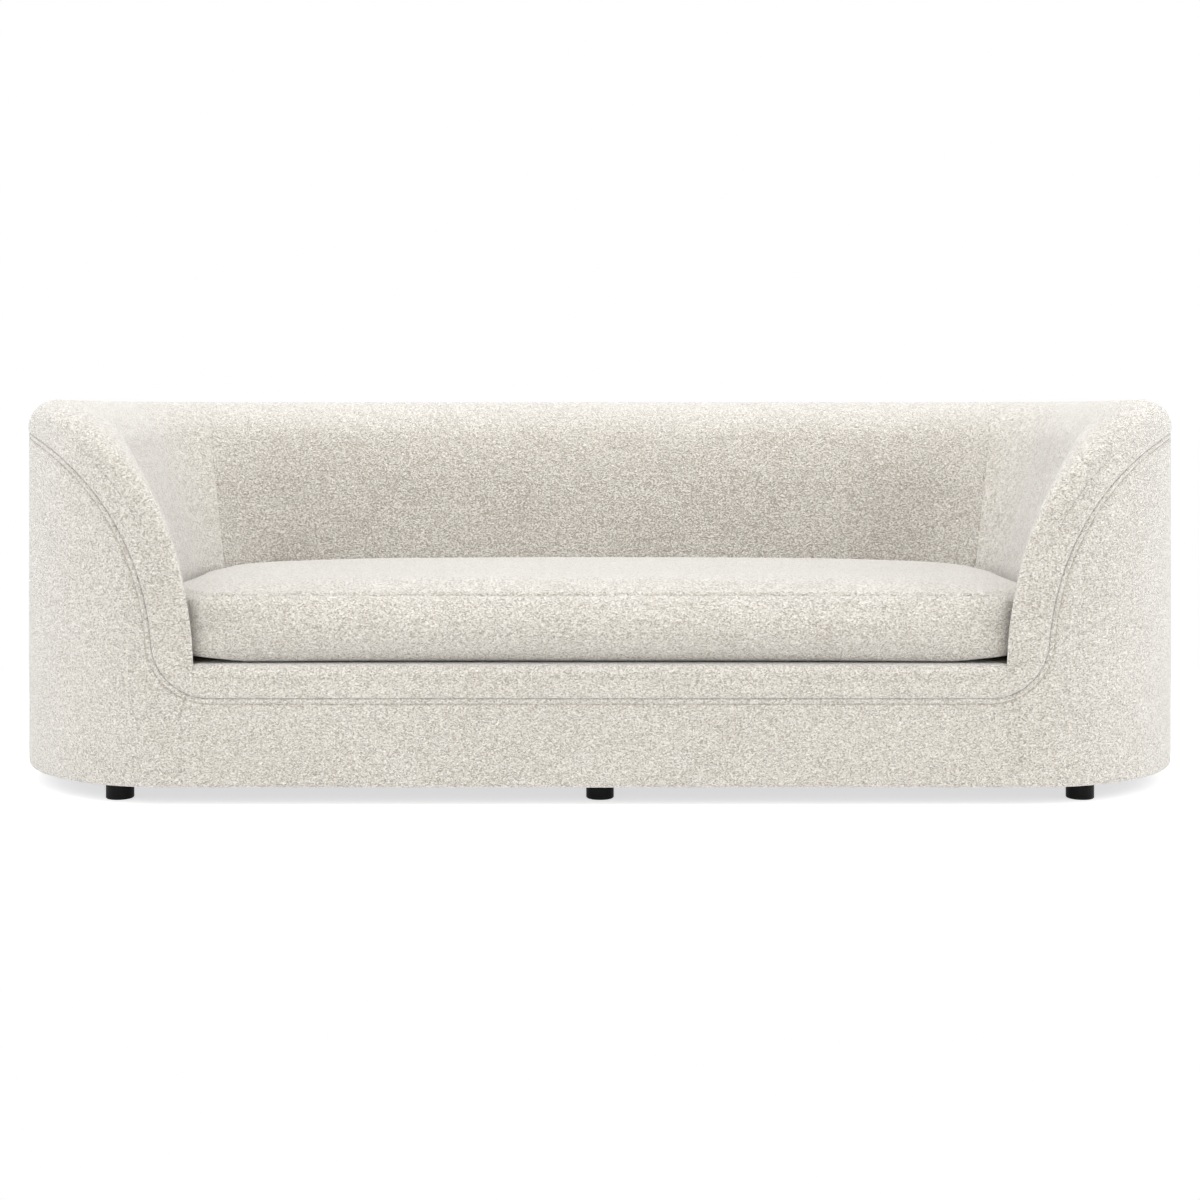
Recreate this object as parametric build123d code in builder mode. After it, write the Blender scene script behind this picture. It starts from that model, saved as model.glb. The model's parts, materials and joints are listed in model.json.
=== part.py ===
"""Tub sofa: a padded shell with a scooped front, a loose bench cushion and six short feet.

Millimetres. The origin is on the floor under the middle of the sofa, +Z is up and the seat faces -Y.
"""

import os
from math import asin, cos, degrees, pi, sin, sqrt

from build123d import *

os.makedirs("parts", exist_ok=True)

# Overall sizes
width = 2286.0
depth = 965.0
height = 750.0
corner_radius = 350.0
ground_gap = 32.0

# Padded shell
sill_height = 258.0
sill_depth = 80.0
sill_roll = 20.0
nose_past = 23.0
nose_gap = 18.0
flare_rise = 132.0
arm_at_seat = 287.0
arm_at_top = 158.0
back_at_seat = 265.0
back_at_top = 150.0
lip_at_seat = 14.0
lip_at_top = 110.0
tub_radius_seat = 175.0
tub_radius_top = 200.0
rim_outer_roll = 50.0
rim_inner_roll = 80.0
nose_share = 0.45
crest_rise = 5.0
wall_levels = 9

# Sewn seams
seam_band = 57.0
seam_drop = 63.0
sill_band = 61.0
seam_turn = 110.0
join_past = 22.0
mitre_inset = 36.5
mitre_lean = 0.205
scoop_steps = 8

# Covers and the wooden shell behind them
cover = 3.0
slack = 0.3
panel = 12.0
panel_band = 107.0
panel_drop = 110.0
panel_turn = 40.0

# Plywood rings, posts, ribs and beams
ring = 18.0
ring_lift = 4.0
base_ring_width = 115.0
deck_drop = 43.0
seat_open_end = 66.0
seat_open_lip = 15.0
seat_open_rear = 30.0
seat_open_radius = 60.0
top_ring_width = 70.0
post = 45.0
arm_post_inset = 42.5
back_post_inset = 60.0
rib_depth = 110.0
rib_drop = 125.0
beam = 45.0
beam_from_foot = 553.0
beam_bearing = 32.0
screw_radius = 3.0
screw_head_radius = 6.0
screw_head = 4.0
screw_bite = 14.0

# Feet and their fixings
foot_radius = 26.0
foot_chamfer = 1.5
foot_end_inset = 240.0
foot_inset = 75.0
foot_hole_play = 1.0
post_shift = 65.0
bolt_radius = 4.0
bolt_play = 0.2
bolt_depth = 26.0
bolt_above = 6.0
nut_radius = 5.5
nut_depth = 10.0
nut_flange_radius = 11.0
nut_flange = 1.5
dust_sheet = 1.0

# Springs and deck
spring_end_gap = 60.0
spring_spacing = 140.0
spring_bars = 15
spring_width = 50.0
wire = 4.0
clip_wall = 2.0
clip_width = 26.0
clip_play = 0.2
felt = 2.4
deck_cloth = 1.5

# Bench cushion
cushion_gap = 6.0
cushion_setback = 20.0
cushion_side = 127.7
cushion_crown = 28.0
cushion_crown_run = 220.0
cushion_corner_gap = 5.0
cushion_foot_turn = 14.0
cushion_waist = 5.0
cushion_skin = 2.5
crown_steps = 5

# Zip along the back of the cushion
zip_end_gap = 80.0
zip_width = 26.0
zip_tape = 1.2
zip_bed = 0.2
slider_long = 14.0
slider_high = 10.0
slider_thick = 3.6
tab_width = 6.0
tab_length = 16.0
tab_thick = 1.2

# Places worked out from the sizes above
overlap = 20.0
front = -depth / 2
back = depth / 2
core_x = width / 2 - corner_radius
core_y = depth / 2 - corner_radius
quarter = corner_radius * pi / 2
rim_span = quarter + nose_past
sill_half = core_x - nose_past - nose_gap
flare_start = sill_height + flare_rise
front_seam = sill_height - sill_band
front_join = core_x - join_past
pad_out = cover + slack
panel_out = cover + 2 * slack
panel_in = panel_out + panel
panel_top = height - panel_drop
base_low = ground_gap + ring_lift
base_top = base_low + ring
seat_ring_top = sill_height - deck_drop
seat_ring_low = seat_ring_top - ring
top_ring_low = panel_top - ring
tub_half = width / 2 - arm_at_seat
tub_front = front + lip_at_seat
tub_back = back - back_at_seat
mitre_seat = tub_half - mitre_inset
seat_open_half = tub_half - seat_open_end
seat_open_front = front + sill_depth + seat_open_lip
seat_open_back = tub_back - seat_open_rear
arm_post_y = core_y - arm_post_inset
back_post_x = core_x - back_post_inset
rib_rise = panel_top - rib_drop - seat_ring_top
foot_spacing = width / 2 - foot_end_inset
beam_x = foot_spacing - beam_from_foot
foot_rows = (front + foot_inset, back - foot_inset)
foot_places = [(x, y) for y in foot_rows for x in (-foot_spacing, 0, foot_spacing)]
beam_places = (-beam_x, beam_x)
beam_front = front + panel_in + base_ring_width - beam_bearing
beam_back = back - panel_in - base_ring_width + beam_bearing
screw_rows = (beam_front + beam_bearing / 2, beam_back - beam_bearing / 2)
screw_places = [(x, y) for x in beam_places for y in screw_rows]


def save(piece, name):
    """Labels a finished piece and writes it to its own file."""
    piece.label = name
    export_step(piece, f"parts/{name}.step")


def save_pair(piece, name):
    """Writes a left-hand piece and its mirror image."""
    save(piece, f"{name}_left")
    save(mirror(piece, about=Plane.YZ), f"{name}_right")


def block(low, high):
    """A box between two opposite corners."""
    with BuildPart() as box:
        with BuildSketch(Plane.XY.offset(low[2])):
            with Locations(((low[0] + high[0]) / 2, (low[1] + high[1]) / 2)):
                Rectangle(high[0] - low[0], high[1] - low[1])
        extrude(amount=high[2] - low[2])
    return box.part


def rolled_block(low, high, roll):
    """A box with its upper front edge rounded."""
    with BuildPart() as box:
        add(block(low, high))
        fillet(box.edges().filter_by(Axis.X).group_by(Axis.Z)[-1].sort_by(Axis.Y)[0], roll)
    return box.part


def plan_ring(outer, inner, low, high):
    """A band that follows the rounded plan, between two insets from the outer face."""
    with BuildPart() as band:
        with BuildSketch(Plane.XY.offset(low)):
            RectangleRounded(width - 2 * outer, depth - 2 * outer, corner_radius - outer)
            RectangleRounded(
                width - 2 * inner, depth - 2 * inner, corner_radius - inner, mode=Mode.SUBTRACT
            )
        extrude(amount=high - low)
    return band.part


def wall_point(length, inset):
    """A point on the outer wall, by its length round the front-left corner from the arm's straight."""
    if length > quarter:
        return Vector(-core_x + length - quarter, front + inset)
    turn = length / corner_radius
    radius = corner_radius - inset
    return Vector(-core_x - radius * cos(turn), -core_y - radius * sin(turn))


def rolled(z, roll, inset):
    """How far a rolled edge draws in from its flat face at a height."""
    above = z - (height - roll)
    if above <= 0:
        return inset
    return roll - sqrt(max((roll - inset) ** 2 - above**2, 0))


def scoop_reach(z, span, power, inset):
    """How far round the corner the scooped rim reaches at a height."""
    rise = max(z - sill_height, 0) / (height + crest_rise - sill_height - inset)
    return span * (1 - rise**2) ** power


def wall_outline(z, inset):
    """Half of the padded wall's outline at a height: back, arm, rounded front nose and inner face."""
    outer = rolled(z, rim_outer_roll, inset)
    inner = rolled(z, rim_inner_roll, inset)
    flare = max(0, (z - flare_start) / (height - flare_start))
    half = width / 2 - arm_at_seat + (arm_at_seat - arm_at_top) * flare + inner
    rear = back - back_at_seat + (back_at_seat - back_at_top) * flare + inner
    lip = front + lip_at_seat + (lip_at_top - lip_at_seat) * flare - inner
    tub_radius = tub_radius_seat + (tub_radius_top - tub_radius_seat) * flare + inner
    radius = corner_radius - outer
    centre = half - tub_radius
    tip_reach = scoop_reach(z, rim_span - inset, 1 / 3, inset)
    nose_reach = scoop_reach(z, quarter, 1 / 2, inset)
    turn_out = nose_reach / corner_radius
    turn_in = nose_share * tip_reach / corner_radius
    start = wall_point(nose_reach, outer)
    end = Vector(-centre - tub_radius * cos(turn_in), lip + tub_radius - tub_radius * sin(turn_in))
    way_out = Vector(sin(turn_out), -cos(turn_out))
    way_in = Vector(sin(turn_in), -cos(turn_in))
    along = (way_out + way_in).normalized()
    tip = wall_point(tip_reach, outer)
    # A cubic curve's middle lies 3/8 of the way along each of its two handles.
    handle = (tip - (start + end) / 2).dot(along) / (3 / 8 * (way_out + way_in).dot(along))
    Line((0, back - outer), (-core_x, back - outer))
    CenterArc((-core_x, core_y), radius, 90, 90)
    Line((-core_x - radius, core_y), (-core_x - radius, -core_y))
    CenterArc((-core_x, -core_y), radius, 180, degrees(turn_out))
    Bezier(start, start + way_out * handle, end + way_in * handle, end)
    CenterArc((-centre, lip + tub_radius), tub_radius, 180 + degrees(turn_in), -degrees(turn_in))
    Line((-half, lip + tub_radius), (-half, rear - tub_radius))
    CenterArc((-centre, rear - tub_radius), tub_radius, 180, -90)
    Line((-centre, rear), (0, rear))


def padded_wall(inset, foot):
    """The arms, back and front noses as one solid, drawn in by an inset, up from a foot height."""
    rise = height - inset - flare_start
    levels = [foot, sill_height] if foot < sill_height else [sill_height]
    levels += [flare_start + rise * sin(pi / 2 * step / wall_levels) for step in range(wall_levels + 1)]
    with BuildPart() as wall:
        for z in levels:
            with BuildSketch(Plane.XY.offset(z)):
                with BuildLine():
                    wall_outline(z, inset)
                    mirror(about=Plane.YZ)
                make_face()
        loft(ruled=True)
    return wall.part


def above_scoop(span, top, low, turn, layer):
    """The space over a line that is level round the arms and back and drops across the front.

    The line stays level until it is clear of the arm's straight, through to the given layer.
    """
    end = asin(max((low + turn - sill_height) / (top - sill_height), 0))
    points = [(-width / 2 + layer, top)]
    for step in range(1, scoop_steps + 1):
        angle = pi / 2 + (end - pi / 2) * step / scoop_steps
        reach = span * max(cos(angle), 0) ** (2 / 3)
        points.append((wall_point(reach, 0).X, sill_height + (top - sill_height) * sin(angle)))
    with BuildPart() as space:
        with BuildSketch(Plane.XZ.offset(core_y)):
            with BuildLine():
                fall = Spline(*points)
                bend = TangentArc(fall @ 1, (points[-1][0] + turn, low), tangent=fall % 1)
                Line(bend @ 1, (0, low))
                Polyline(
                    fall @ 0,
                    (-width / 2 - overlap, top),
                    (-width / 2 - overlap, height + overlap),
                    (0, height + overlap),
                )
                mirror(about=Plane.YZ)
            make_face()
        extrude(amount=corner_radius + overlap)
        with BuildSketch(Plane.XY.offset(top)):
            with Locations((0, (back + overlap - core_y) / 2)):
                Rectangle(width + 2 * overlap, back + overlap + core_y)
        extrude(amount=height + overlap - top)
    return space.part


above_seam = above_scoop(rim_span - seam_band, height - seam_drop, front_seam, seam_turn, cover)
above_panel = above_scoop(rim_span - panel_band, panel_top, seat_ring_top, panel_turn, panel_in)

# The inside back is cut from between the two leaning mitre seams in the rear corners.
with BuildPart() as back_wedge:
    with BuildSketch(Plane.XZ):
        mitre_top = mitre_seat + mitre_lean * (height - flare_start)
        mitre_foot = mitre_seat - mitre_lean * flare_start
        Polygon(
            (-mitre_foot, 0), (mitre_foot, 0), (mitre_top, height), (-mitre_top, height), align=None
        )
    extrude(amount=-back - overlap)

# Wooden frame: plywood rings at the base, the seat and the top
with BuildPart() as base_ring:
    add(plan_ring(panel_in, panel_in + base_ring_width, base_low, base_top))
    with Locations(*[(x, y, base_top) for x, y in foot_places]):
        CounterBoreHole(bolt_radius + bolt_play, nut_radius, nut_depth)
    with Locations(*[(x, y, base_top) for x, y in screw_places]):
        Hole(screw_radius, depth=screw_bite)
save(base_ring.part, "base_ring")

with BuildPart() as seat_ring:
    with BuildSketch(Plane.XY.offset(seat_ring_low)):
        RectangleRounded(width - 2 * panel_in, depth - 2 * panel_in, corner_radius - panel_in)
        with Locations((0, (seat_open_front + seat_open_back) / 2)):
            RectangleRounded(
                2 * seat_open_half,
                seat_open_back - seat_open_front,
                seat_open_radius,
                mode=Mode.SUBTRACT,
            )
    extrude(amount=ring)
save(seat_ring.part, "seat_ring")

with BuildPart() as top_ring:
    add(plan_ring(panel_in, panel_in + top_ring_width, top_ring_low, panel_top))
    split(bisect_by=Plane.XZ.offset(core_y), keep=Keep.BOTTOM)
save(top_ring.part, "top_ring")

# Wooden shell: flat boards on the straights and bent plywood round the corners
with BuildPart() as front_board:
    add(block((-core_x, front + panel_out, base_low), (core_x, front + panel_in, seat_ring_top)))
save(front_board.part, "front_board")

with BuildPart() as back_board:
    add(block((-core_x, back - panel_in, base_low), (core_x, back - panel_out, panel_top)))
save(back_board.part, "back_board")

with BuildPart() as side_board:
    add(
        block(
            (-width / 2 + panel_out, -core_y, base_low), (-width / 2 + panel_in, core_y, panel_top)
        )
    )
save_pair(side_board.part, "side_board")

with BuildPart() as front_wing:
    add(plan_ring(panel_out, panel_in, base_low, panel_top))
    add(
        block((-width / 2, front, 0), (-core_x, -core_y, height)), mode=Mode.INTERSECT
    )
    add(above_panel, mode=Mode.SUBTRACT)
save_pair(front_wing.part, "front_wing")

with BuildPart() as rear_corner:
    add(plan_ring(panel_out, panel_in, base_low, panel_top))
    add(block((-width / 2, core_y, 0), (-core_x, back, height)), mode=Mode.INTERSECT)
save_pair(rear_corner.part, "rear_corner")

# Posts, ribs and beams
arm_post_x = -width / 2 + panel_in
with BuildPart() as arm_front_post:
    add(
        block(
            (arm_post_x, -arm_post_y - post / 2, seat_ring_top),
            (arm_post_x + post, -arm_post_y + post / 2, top_ring_low),
        )
    )
save_pair(arm_front_post.part, "arm_front_post")

with BuildPart() as arm_rear_post:
    add(
        block(
            (arm_post_x, arm_post_y - post / 2, seat_ring_top),
            (arm_post_x + post, arm_post_y + post / 2, top_ring_low),
        )
    )
save_pair(arm_rear_post.part, "arm_rear_post")

with BuildPart() as back_end_post:
    add(
        block(
            (-back_post_x - post / 2, back - panel_in - post, seat_ring_top),
            (-back_post_x + post / 2, back - panel_in, top_ring_low),
        )
    )
save_pair(back_end_post.part, "back_end_post")

with BuildPart() as back_middle_post:
    add(
        block(
            (-post / 2, back - panel_in - post, seat_ring_top), (post / 2, back - panel_in, top_ring_low)
        )
    )
save(back_middle_post.part, "back_middle_post")

# Each rib stands on the seat ring and holds the bent wing out at the middle of its curve.
with BuildPart() as wing_rib:
    with BuildSketch(Plane((-core_x, -core_y, seat_ring_top), x_dir=(-1, -1, 0), z_dir=(0, 0, 1))):
        with Locations((corner_radius - panel_in - rib_depth / 2, 0)):
            Rectangle(rib_depth + panel, ring)
    extrude(amount=rib_rise)
    add(plan_ring(-overlap, panel_in, 0, height), mode=Mode.SUBTRACT)
save_pair(wing_rib.part, "wing_rib")

post_places = {
    "front_left": (-foot_spacing + post_shift, foot_rows[0]),
    "front_middle": (post_shift, foot_rows[0]),
    "front_right": (foot_spacing - post_shift, foot_rows[0]),
    "rear_left": (-foot_spacing + post_shift, foot_rows[1]),
    "rear_middle": (post_shift, foot_rows[1]),
    "rear_right": (foot_spacing - post_shift, foot_rows[1]),
}
for place, (x, y) in post_places.items():
    with BuildPart() as base_post:
        add(
            block(
                (x - post / 2, y - post / 2, base_top), (x + post / 2, y + post / 2, seat_ring_low)
            )
        )
    save(base_post.part, f"base_post_{place}")

for place, x in zip(("left", "right"), beam_places):
    with BuildPart() as cross_beam:
        add(block((x - beam / 2, beam_front, base_top), (x + beam / 2, beam_back, base_top + beam)))
        with Locations(*[(x, y, base_top + beam) for y in screw_rows]):
            CounterBoreHole(screw_radius, screw_head_radius, screw_head)
    save(cross_beam.part, f"cross_beam_{place}")

with BuildPart() as beam_screws:
    with BuildSketch(Plane.XY.offset(base_top - screw_bite)):
        with Locations(*screw_places):
            Circle(screw_radius)
    extrude(amount=screw_bite + beam - screw_head)
    with BuildSketch(Plane.XY.offset(base_top + beam - screw_head)):
        with Locations(*screw_places):
            Circle(screw_head_radius)
    extrude(amount=screw_head)
save(beam_screws.part, "beam_screws")

# Feet with their bolts and tee nuts
for place, (x, y) in zip(post_places, foot_places):
    with BuildPart() as foot:
        with BuildSketch():
            with Locations((x, y)):
                Circle(foot_radius)
        extrude(amount=base_low)
        chamfer(foot.edges().group_by(Axis.Z)[0], foot_chamfer)
        with Locations((x, y, base_low)):
            Hole(bolt_radius, depth=bolt_depth)
    save(foot.part, f"foot_{place}")

with BuildPart() as foot_bolts:
    with BuildSketch(Plane.XY.offset(base_low - bolt_depth)):
        with Locations(*foot_places):
            Circle(bolt_radius)
    extrude(amount=bolt_depth + ring + bolt_above)
save(foot_bolts.part, "foot_bolts")

with BuildPart() as tee_nuts:
    with BuildSketch(Plane.XY.offset(base_top - nut_depth)):
        with Locations(*foot_places):
            Circle(nut_radius)
    extrude(amount=nut_depth)
    with BuildSketch(Plane.XY.offset(base_top)):
        with Locations(*foot_places):
            Circle(nut_flange_radius)
    extrude(amount=nut_flange)
    with BuildSketch(Plane.XY.offset(base_top - nut_depth)):
        with Locations(*foot_places):
            Circle(bolt_radius)
    extrude(amount=nut_depth + nut_flange, mode=Mode.SUBTRACT)
save(tee_nuts.part, "tee_nuts")

with BuildPart() as dust_cover:
    with BuildSketch(Plane.XY.offset(base_low - dust_sheet)):
        RectangleRounded(width - 2 * panel_out, depth - 2 * panel_out, corner_radius - panel_out)
        with Locations(*foot_places):
            Circle(foot_radius + foot_hole_play, mode=Mode.SUBTRACT)
    extrude(amount=dust_sheet)
save(dust_cover.part, "dust_cover")

# Sinuous springs across the seat opening, each end held in a clip on the seat ring
spring_low = seat_ring_top + clip_wall + clip_play
spring_middle = spring_low + wire / 2
clip_top = spring_low + wire + clip_play + clip_wall
clip_deep = seat_open_lip - slack
bar_front = seat_open_front - clip_deep / 2
bar_back = seat_open_back + clip_deep / 2
bar_pitch = (bar_back - bar_front) / (spring_bars - 1)
spring_count = int(2 * (seat_open_half - spring_end_gap) / spring_spacing) + 1
spring_x = [(n - (spring_count - 1) / 2) * spring_spacing for n in range(spring_count)]

wave = []
for bar in range(spring_bars):
    lead = -1 if bar % 2 == 0 else 1
    wave.append((lead * spring_width / 2, bar_front + bar * bar_pitch, spring_middle))
    wave.append((-lead * spring_width / 2, bar_front + bar * bar_pitch, spring_middle))
with BuildPart() as one_spring:
    with BuildLine() as course:
        Polyline(*wave)
    with BuildSketch(Plane(course.line @ 0, x_dir=(0, 1, 0), z_dir=course.line % 0)):
        Rectangle(wire, wire)
    sweep(path=course.line, transition=Transition.RIGHT)
with BuildPart() as seat_springs:
    with Locations(*[(x, 0, 0) for x in spring_x]):
        add(one_spring.part)
save(seat_springs.part, "seat_springs")

with BuildPart() as spring_clips:
    for bar_y, mouth in ((bar_front, 1), (bar_back, -1)):
        with BuildSketch(Plane.YZ.offset(-clip_width / 2)) as clip_side:
            with Locations((bar_y, (seat_ring_top + clip_top) / 2)):
                Rectangle(clip_deep, clip_top - seat_ring_top)
            with Locations((bar_y + mouth * clip_wall, spring_middle)):
                Rectangle(clip_deep, wire + 2 * clip_play, mode=Mode.SUBTRACT)
        with Locations(*[(x, 0, 0) for x in spring_x]):
            add(extrude(clip_side.sketch, amount=clip_width, mode=Mode.PRIVATE))
save(spring_clips.part, "spring_clips")


def deck_layer(low, high):
    """One layer of the seat deck, fitted inside the tub and behind the front sill."""
    with BuildPart() as layer:
        with BuildSketch(Plane.XY.offset(low)):
            with Locations((0, (tub_front + tub_back) / 2)):
                RectangleRounded(
                    2 * (tub_half - slack), tub_back - tub_front - 2 * slack, tub_radius_seat - slack
                )
            with Locations((0, front + (sill_depth + slack) / 2)):
                Rectangle(2 * (sill_half + slack), sill_depth + slack, mode=Mode.SUBTRACT)
        extrude(amount=high - low)
    return layer.part


felt_low = clip_top + clip_play
deck_top = sill_height - slack
with BuildPart() as spring_felt:
    add(deck_layer(felt_low, felt_low + felt))
save(spring_felt.part, "spring_felt")

with BuildPart() as deck_pad:
    add(deck_layer(felt_low + felt, deck_top - deck_cloth))
save(deck_pad.part, "deck_pad")

with BuildPart() as deck_cover:
    add(deck_layer(deck_top - deck_cloth, deck_top))
save(deck_cover.part, "deck_cover")

# Foam: the padded wall, hollowed where the wooden frame stands in it
with BuildPart() as board_space:
    add(plan_ring(-overlap, panel_in, seat_ring_top - overlap, height))
    add(above_panel, mode=Mode.SUBTRACT)
with BuildPart() as wall_foam:
    add(padded_wall(pad_out, seat_ring_top))
    add(board_space.part, mode=Mode.SUBTRACT)
    add(top_ring.part, mode=Mode.SUBTRACT)
    add(back_middle_post.part, mode=Mode.SUBTRACT)
    for piece in (arm_front_post, arm_rear_post, back_end_post, wing_rib):
        add(piece.part, mode=Mode.SUBTRACT)
        add(mirror(piece.part, about=Plane.YZ), mode=Mode.SUBTRACT)

with BuildPart() as arm_foam:
    add(wall_foam.part)
    add(back_wedge.part, mode=Mode.SUBTRACT)
    split(bisect_by=Plane.YZ, keep=Keep.BOTTOM)
save_pair(arm_foam.part, "arm_foam")

with BuildPart() as back_foam:
    add(wall_foam.part)
    add(back_wedge.part, mode=Mode.INTERSECT)
save(back_foam.part, "back_foam")

with BuildPart() as sill_foam:
    add(
        rolled_block(
            (-sill_half + slack, front + pad_out, seat_ring_top),
            (sill_half - slack, front + sill_depth, sill_height - pad_out),
            sill_roll - pad_out,
        )
    )
save(sill_foam.part, "sill_foam")

# Covers below the sewn seam: front, back and one round each end
with BuildPart() as skirt:
    add(plan_ring(0, cover, ground_gap, height))
    add(above_seam, mode=Mode.SUBTRACT)

with BuildPart() as front_cover:
    add(skirt.part)
    add(block((-front_join, front - overlap, 0), (front_join, 0, height)), mode=Mode.INTERSECT)
save(front_cover.part, "front_cover")

with BuildPart() as back_cover:
    add(skirt.part)
    add(block((-front_join, 0, 0), (front_join, back + overlap, height)), mode=Mode.INTERSECT)
save(back_cover.part, "back_cover")

with BuildPart() as end_cover:
    add(skirt.part)
    split(bisect_by=Plane.YZ.offset(-front_join), keep=Keep.BOTTOM)
save_pair(end_cover.part, "end_cover")

# Covers above the seam: over the rim and down the inside, joined at a mitre in each rear corner
with BuildPart() as below_seam:
    add(plan_ring(-overlap, panel_in, 0, height + overlap))
    add(above_seam, mode=Mode.SUBTRACT)
with BuildPart() as rim_cover:
    add(padded_wall(0, sill_height))
    add(padded_wall(cover, sill_height - overlap), mode=Mode.SUBTRACT)
    add(below_seam.part, mode=Mode.SUBTRACT)
with BuildPart() as lower_band:
    add(plan_ring(0, cover, ground_gap, sill_height))
    add(above_seam, mode=Mode.INTERSECT)
    split(bisect_by=Plane.YZ.offset(-sill_half), keep=Keep.BOTTOM)

with BuildPart() as inside_arm_cover:
    add(rim_cover.part)
    add(back_wedge.part, mode=Mode.SUBTRACT)
    split(bisect_by=Plane.YZ, keep=Keep.BOTTOM)
    add(lower_band.part)
save_pair(inside_arm_cover.part, "inside_arm_cover")

with BuildPart() as inside_back_cover:
    add(rim_cover.part)
    add(back_wedge.part, mode=Mode.INTERSECT)
save(inside_back_cover.part, "inside_back_cover")

with BuildPart() as sill_cover:
    add(rolled_block((-sill_half, front, 0), (sill_half, front + sill_depth, sill_height), sill_roll))
    add(
        rolled_block(
            (-width, front + cover, -overlap), (width, back, sill_height - cover), sill_roll - cover
        ),
        mode=Mode.SUBTRACT,
    )
    add(above_seam, mode=Mode.INTERSECT)
save(sill_cover.part, "sill_cover")

# Loose bench cushion: foam core inside a boxed cover with a crowned top
cushion_low = sill_height + slack
cushion_seam = cushion_low + cushion_side
cushion_front = front + cushion_setback
cushion_back = tub_back - cushion_gap
cushion_half = tub_half - cushion_gap
cushion_mid = (cushion_front + cushion_back) / 2
cushion_run = (cushion_back - cushion_front) / 2
cushion_radius = tub_radius_seat - cushion_corner_gap
waist_height = (cushion_low + cushion_seam) / 2


def cushion_form(inset):
    """The cushion drawn in by an inset: flat foot, waisted sides and a crown."""
    levels = [
        (cushion_low + inset, cushion_foot_turn),
        (cushion_low + cushion_foot_turn, 0),
        (waist_height, cushion_waist),
        (cushion_seam - inset / 2, 0),
    ]
    for step in range(1, crown_steps + 1):
        share = step / crown_steps
        rise = cushion_crown * (1 - (1 - share) ** 2)
        levels.append((cushion_seam + rise - inset, cushion_crown_run * share))
    with BuildPart() as form:
        for z, draw_in in levels:
            draw = draw_in + inset
            with BuildSketch(Plane.XY.offset(z)):
                with Locations((0, cushion_mid)):
                    RectangleRounded(
                        2 * (cushion_half - draw),
                        2 * (cushion_run - draw),
                        cushion_radius * (1 - draw / cushion_run),
                    )
        loft(ruled=True)
    return form.part


zip_face = cushion_back - cushion_waist - cushion_skin
zip_half = cushion_half - cushion_radius - zip_end_gap
zip_space = block(
    (-zip_half, zip_face + zip_bed, waist_height - zip_width / 2),
    (zip_half, back, waist_height + zip_width / 2),
)
with BuildPart() as cushion_core:
    add(cushion_form(cushion_skin))
    add(zip_space, mode=Mode.SUBTRACT)
save(cushion_core.part, "cushion_core")

with BuildPart() as cushion_cover:
    add(cushion_form(0))
    add(cushion_form(cushion_skin), mode=Mode.SUBTRACT)
    add(zip_space, mode=Mode.SUBTRACT)
save(cushion_cover.part, "cushion_cover")

tape_face = zip_face + zip_bed + zip_tape
with BuildPart() as cushion_zip:
    add(
        block(
            (-zip_half, zip_face + zip_bed, waist_height - zip_width / 2),
            (zip_half, tape_face, waist_height + zip_width / 2),
        )
    )
save(cushion_zip.part, "cushion_zip")

slider_face = tape_face + slack
tab_face = slider_face + slider_thick
with BuildPart() as zip_slider:
    add(
        block(
            (-slider_long / 2, slider_face, waist_height - slider_high / 2),
            (slider_long / 2, tab_face, waist_height + slider_high / 2),
        )
    )
    add(
        block(
            (-tab_width / 2, tab_face, waist_height - tab_length),
            (tab_width / 2, tab_face + tab_thick, waist_height + slider_high / 2),
        )
    )
save(zip_slider.part, "zip_slider")
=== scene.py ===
"""Dresses the tub sofa: its covers, seams, bench cushion, feet and frame, in a plain studio."""

import json
from bisect import bisect_right
from contextlib import contextmanager
from math import asin, atan2, cos, exp, hypot, pi, sin, sqrt
import bmesh
import bpy
from mathutils import Matrix, Vector
from mathutils.kdtree import KDTree


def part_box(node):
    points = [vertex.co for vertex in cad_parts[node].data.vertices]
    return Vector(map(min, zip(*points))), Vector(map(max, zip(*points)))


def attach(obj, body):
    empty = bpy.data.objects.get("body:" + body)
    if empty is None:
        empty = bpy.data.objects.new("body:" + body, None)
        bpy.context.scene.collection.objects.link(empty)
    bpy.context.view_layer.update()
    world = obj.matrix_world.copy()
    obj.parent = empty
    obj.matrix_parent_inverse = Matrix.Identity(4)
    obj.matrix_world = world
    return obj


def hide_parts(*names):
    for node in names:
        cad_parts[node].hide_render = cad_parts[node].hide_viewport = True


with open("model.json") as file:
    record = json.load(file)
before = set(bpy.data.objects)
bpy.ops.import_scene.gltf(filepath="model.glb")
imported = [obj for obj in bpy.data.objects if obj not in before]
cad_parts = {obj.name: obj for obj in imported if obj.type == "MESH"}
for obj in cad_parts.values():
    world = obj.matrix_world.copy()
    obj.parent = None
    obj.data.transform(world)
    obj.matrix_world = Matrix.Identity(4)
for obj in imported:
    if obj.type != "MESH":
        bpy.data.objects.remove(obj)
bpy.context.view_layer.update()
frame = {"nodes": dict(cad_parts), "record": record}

bl_info = {
    "name": "Tub sofa",
    "version": (1, 0, 0),
    "blender": (4, 5, 0),
    "location": "View3D > Sidebar > Sofa",
    "description": "Builds the covers, cushion and studio of an upholstered tub sofa",
    "category": "Object",
}


def length(name, default, description):
    """A size in metres."""
    return bpy.props.FloatProperty(
        name=name, default=default, description=description, unit="LENGTH", precision=4
    )


def number(name, default, description):
    """A plain number."""
    return bpy.props.FloatProperty(name=name, default=default, description=description)


def colour(name, default, description):
    """A linear colour."""
    return bpy.props.FloatVectorProperty(
        name=name, default=default, description=description, subtype="COLOR", size=3, min=0, max=1
    )


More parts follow.
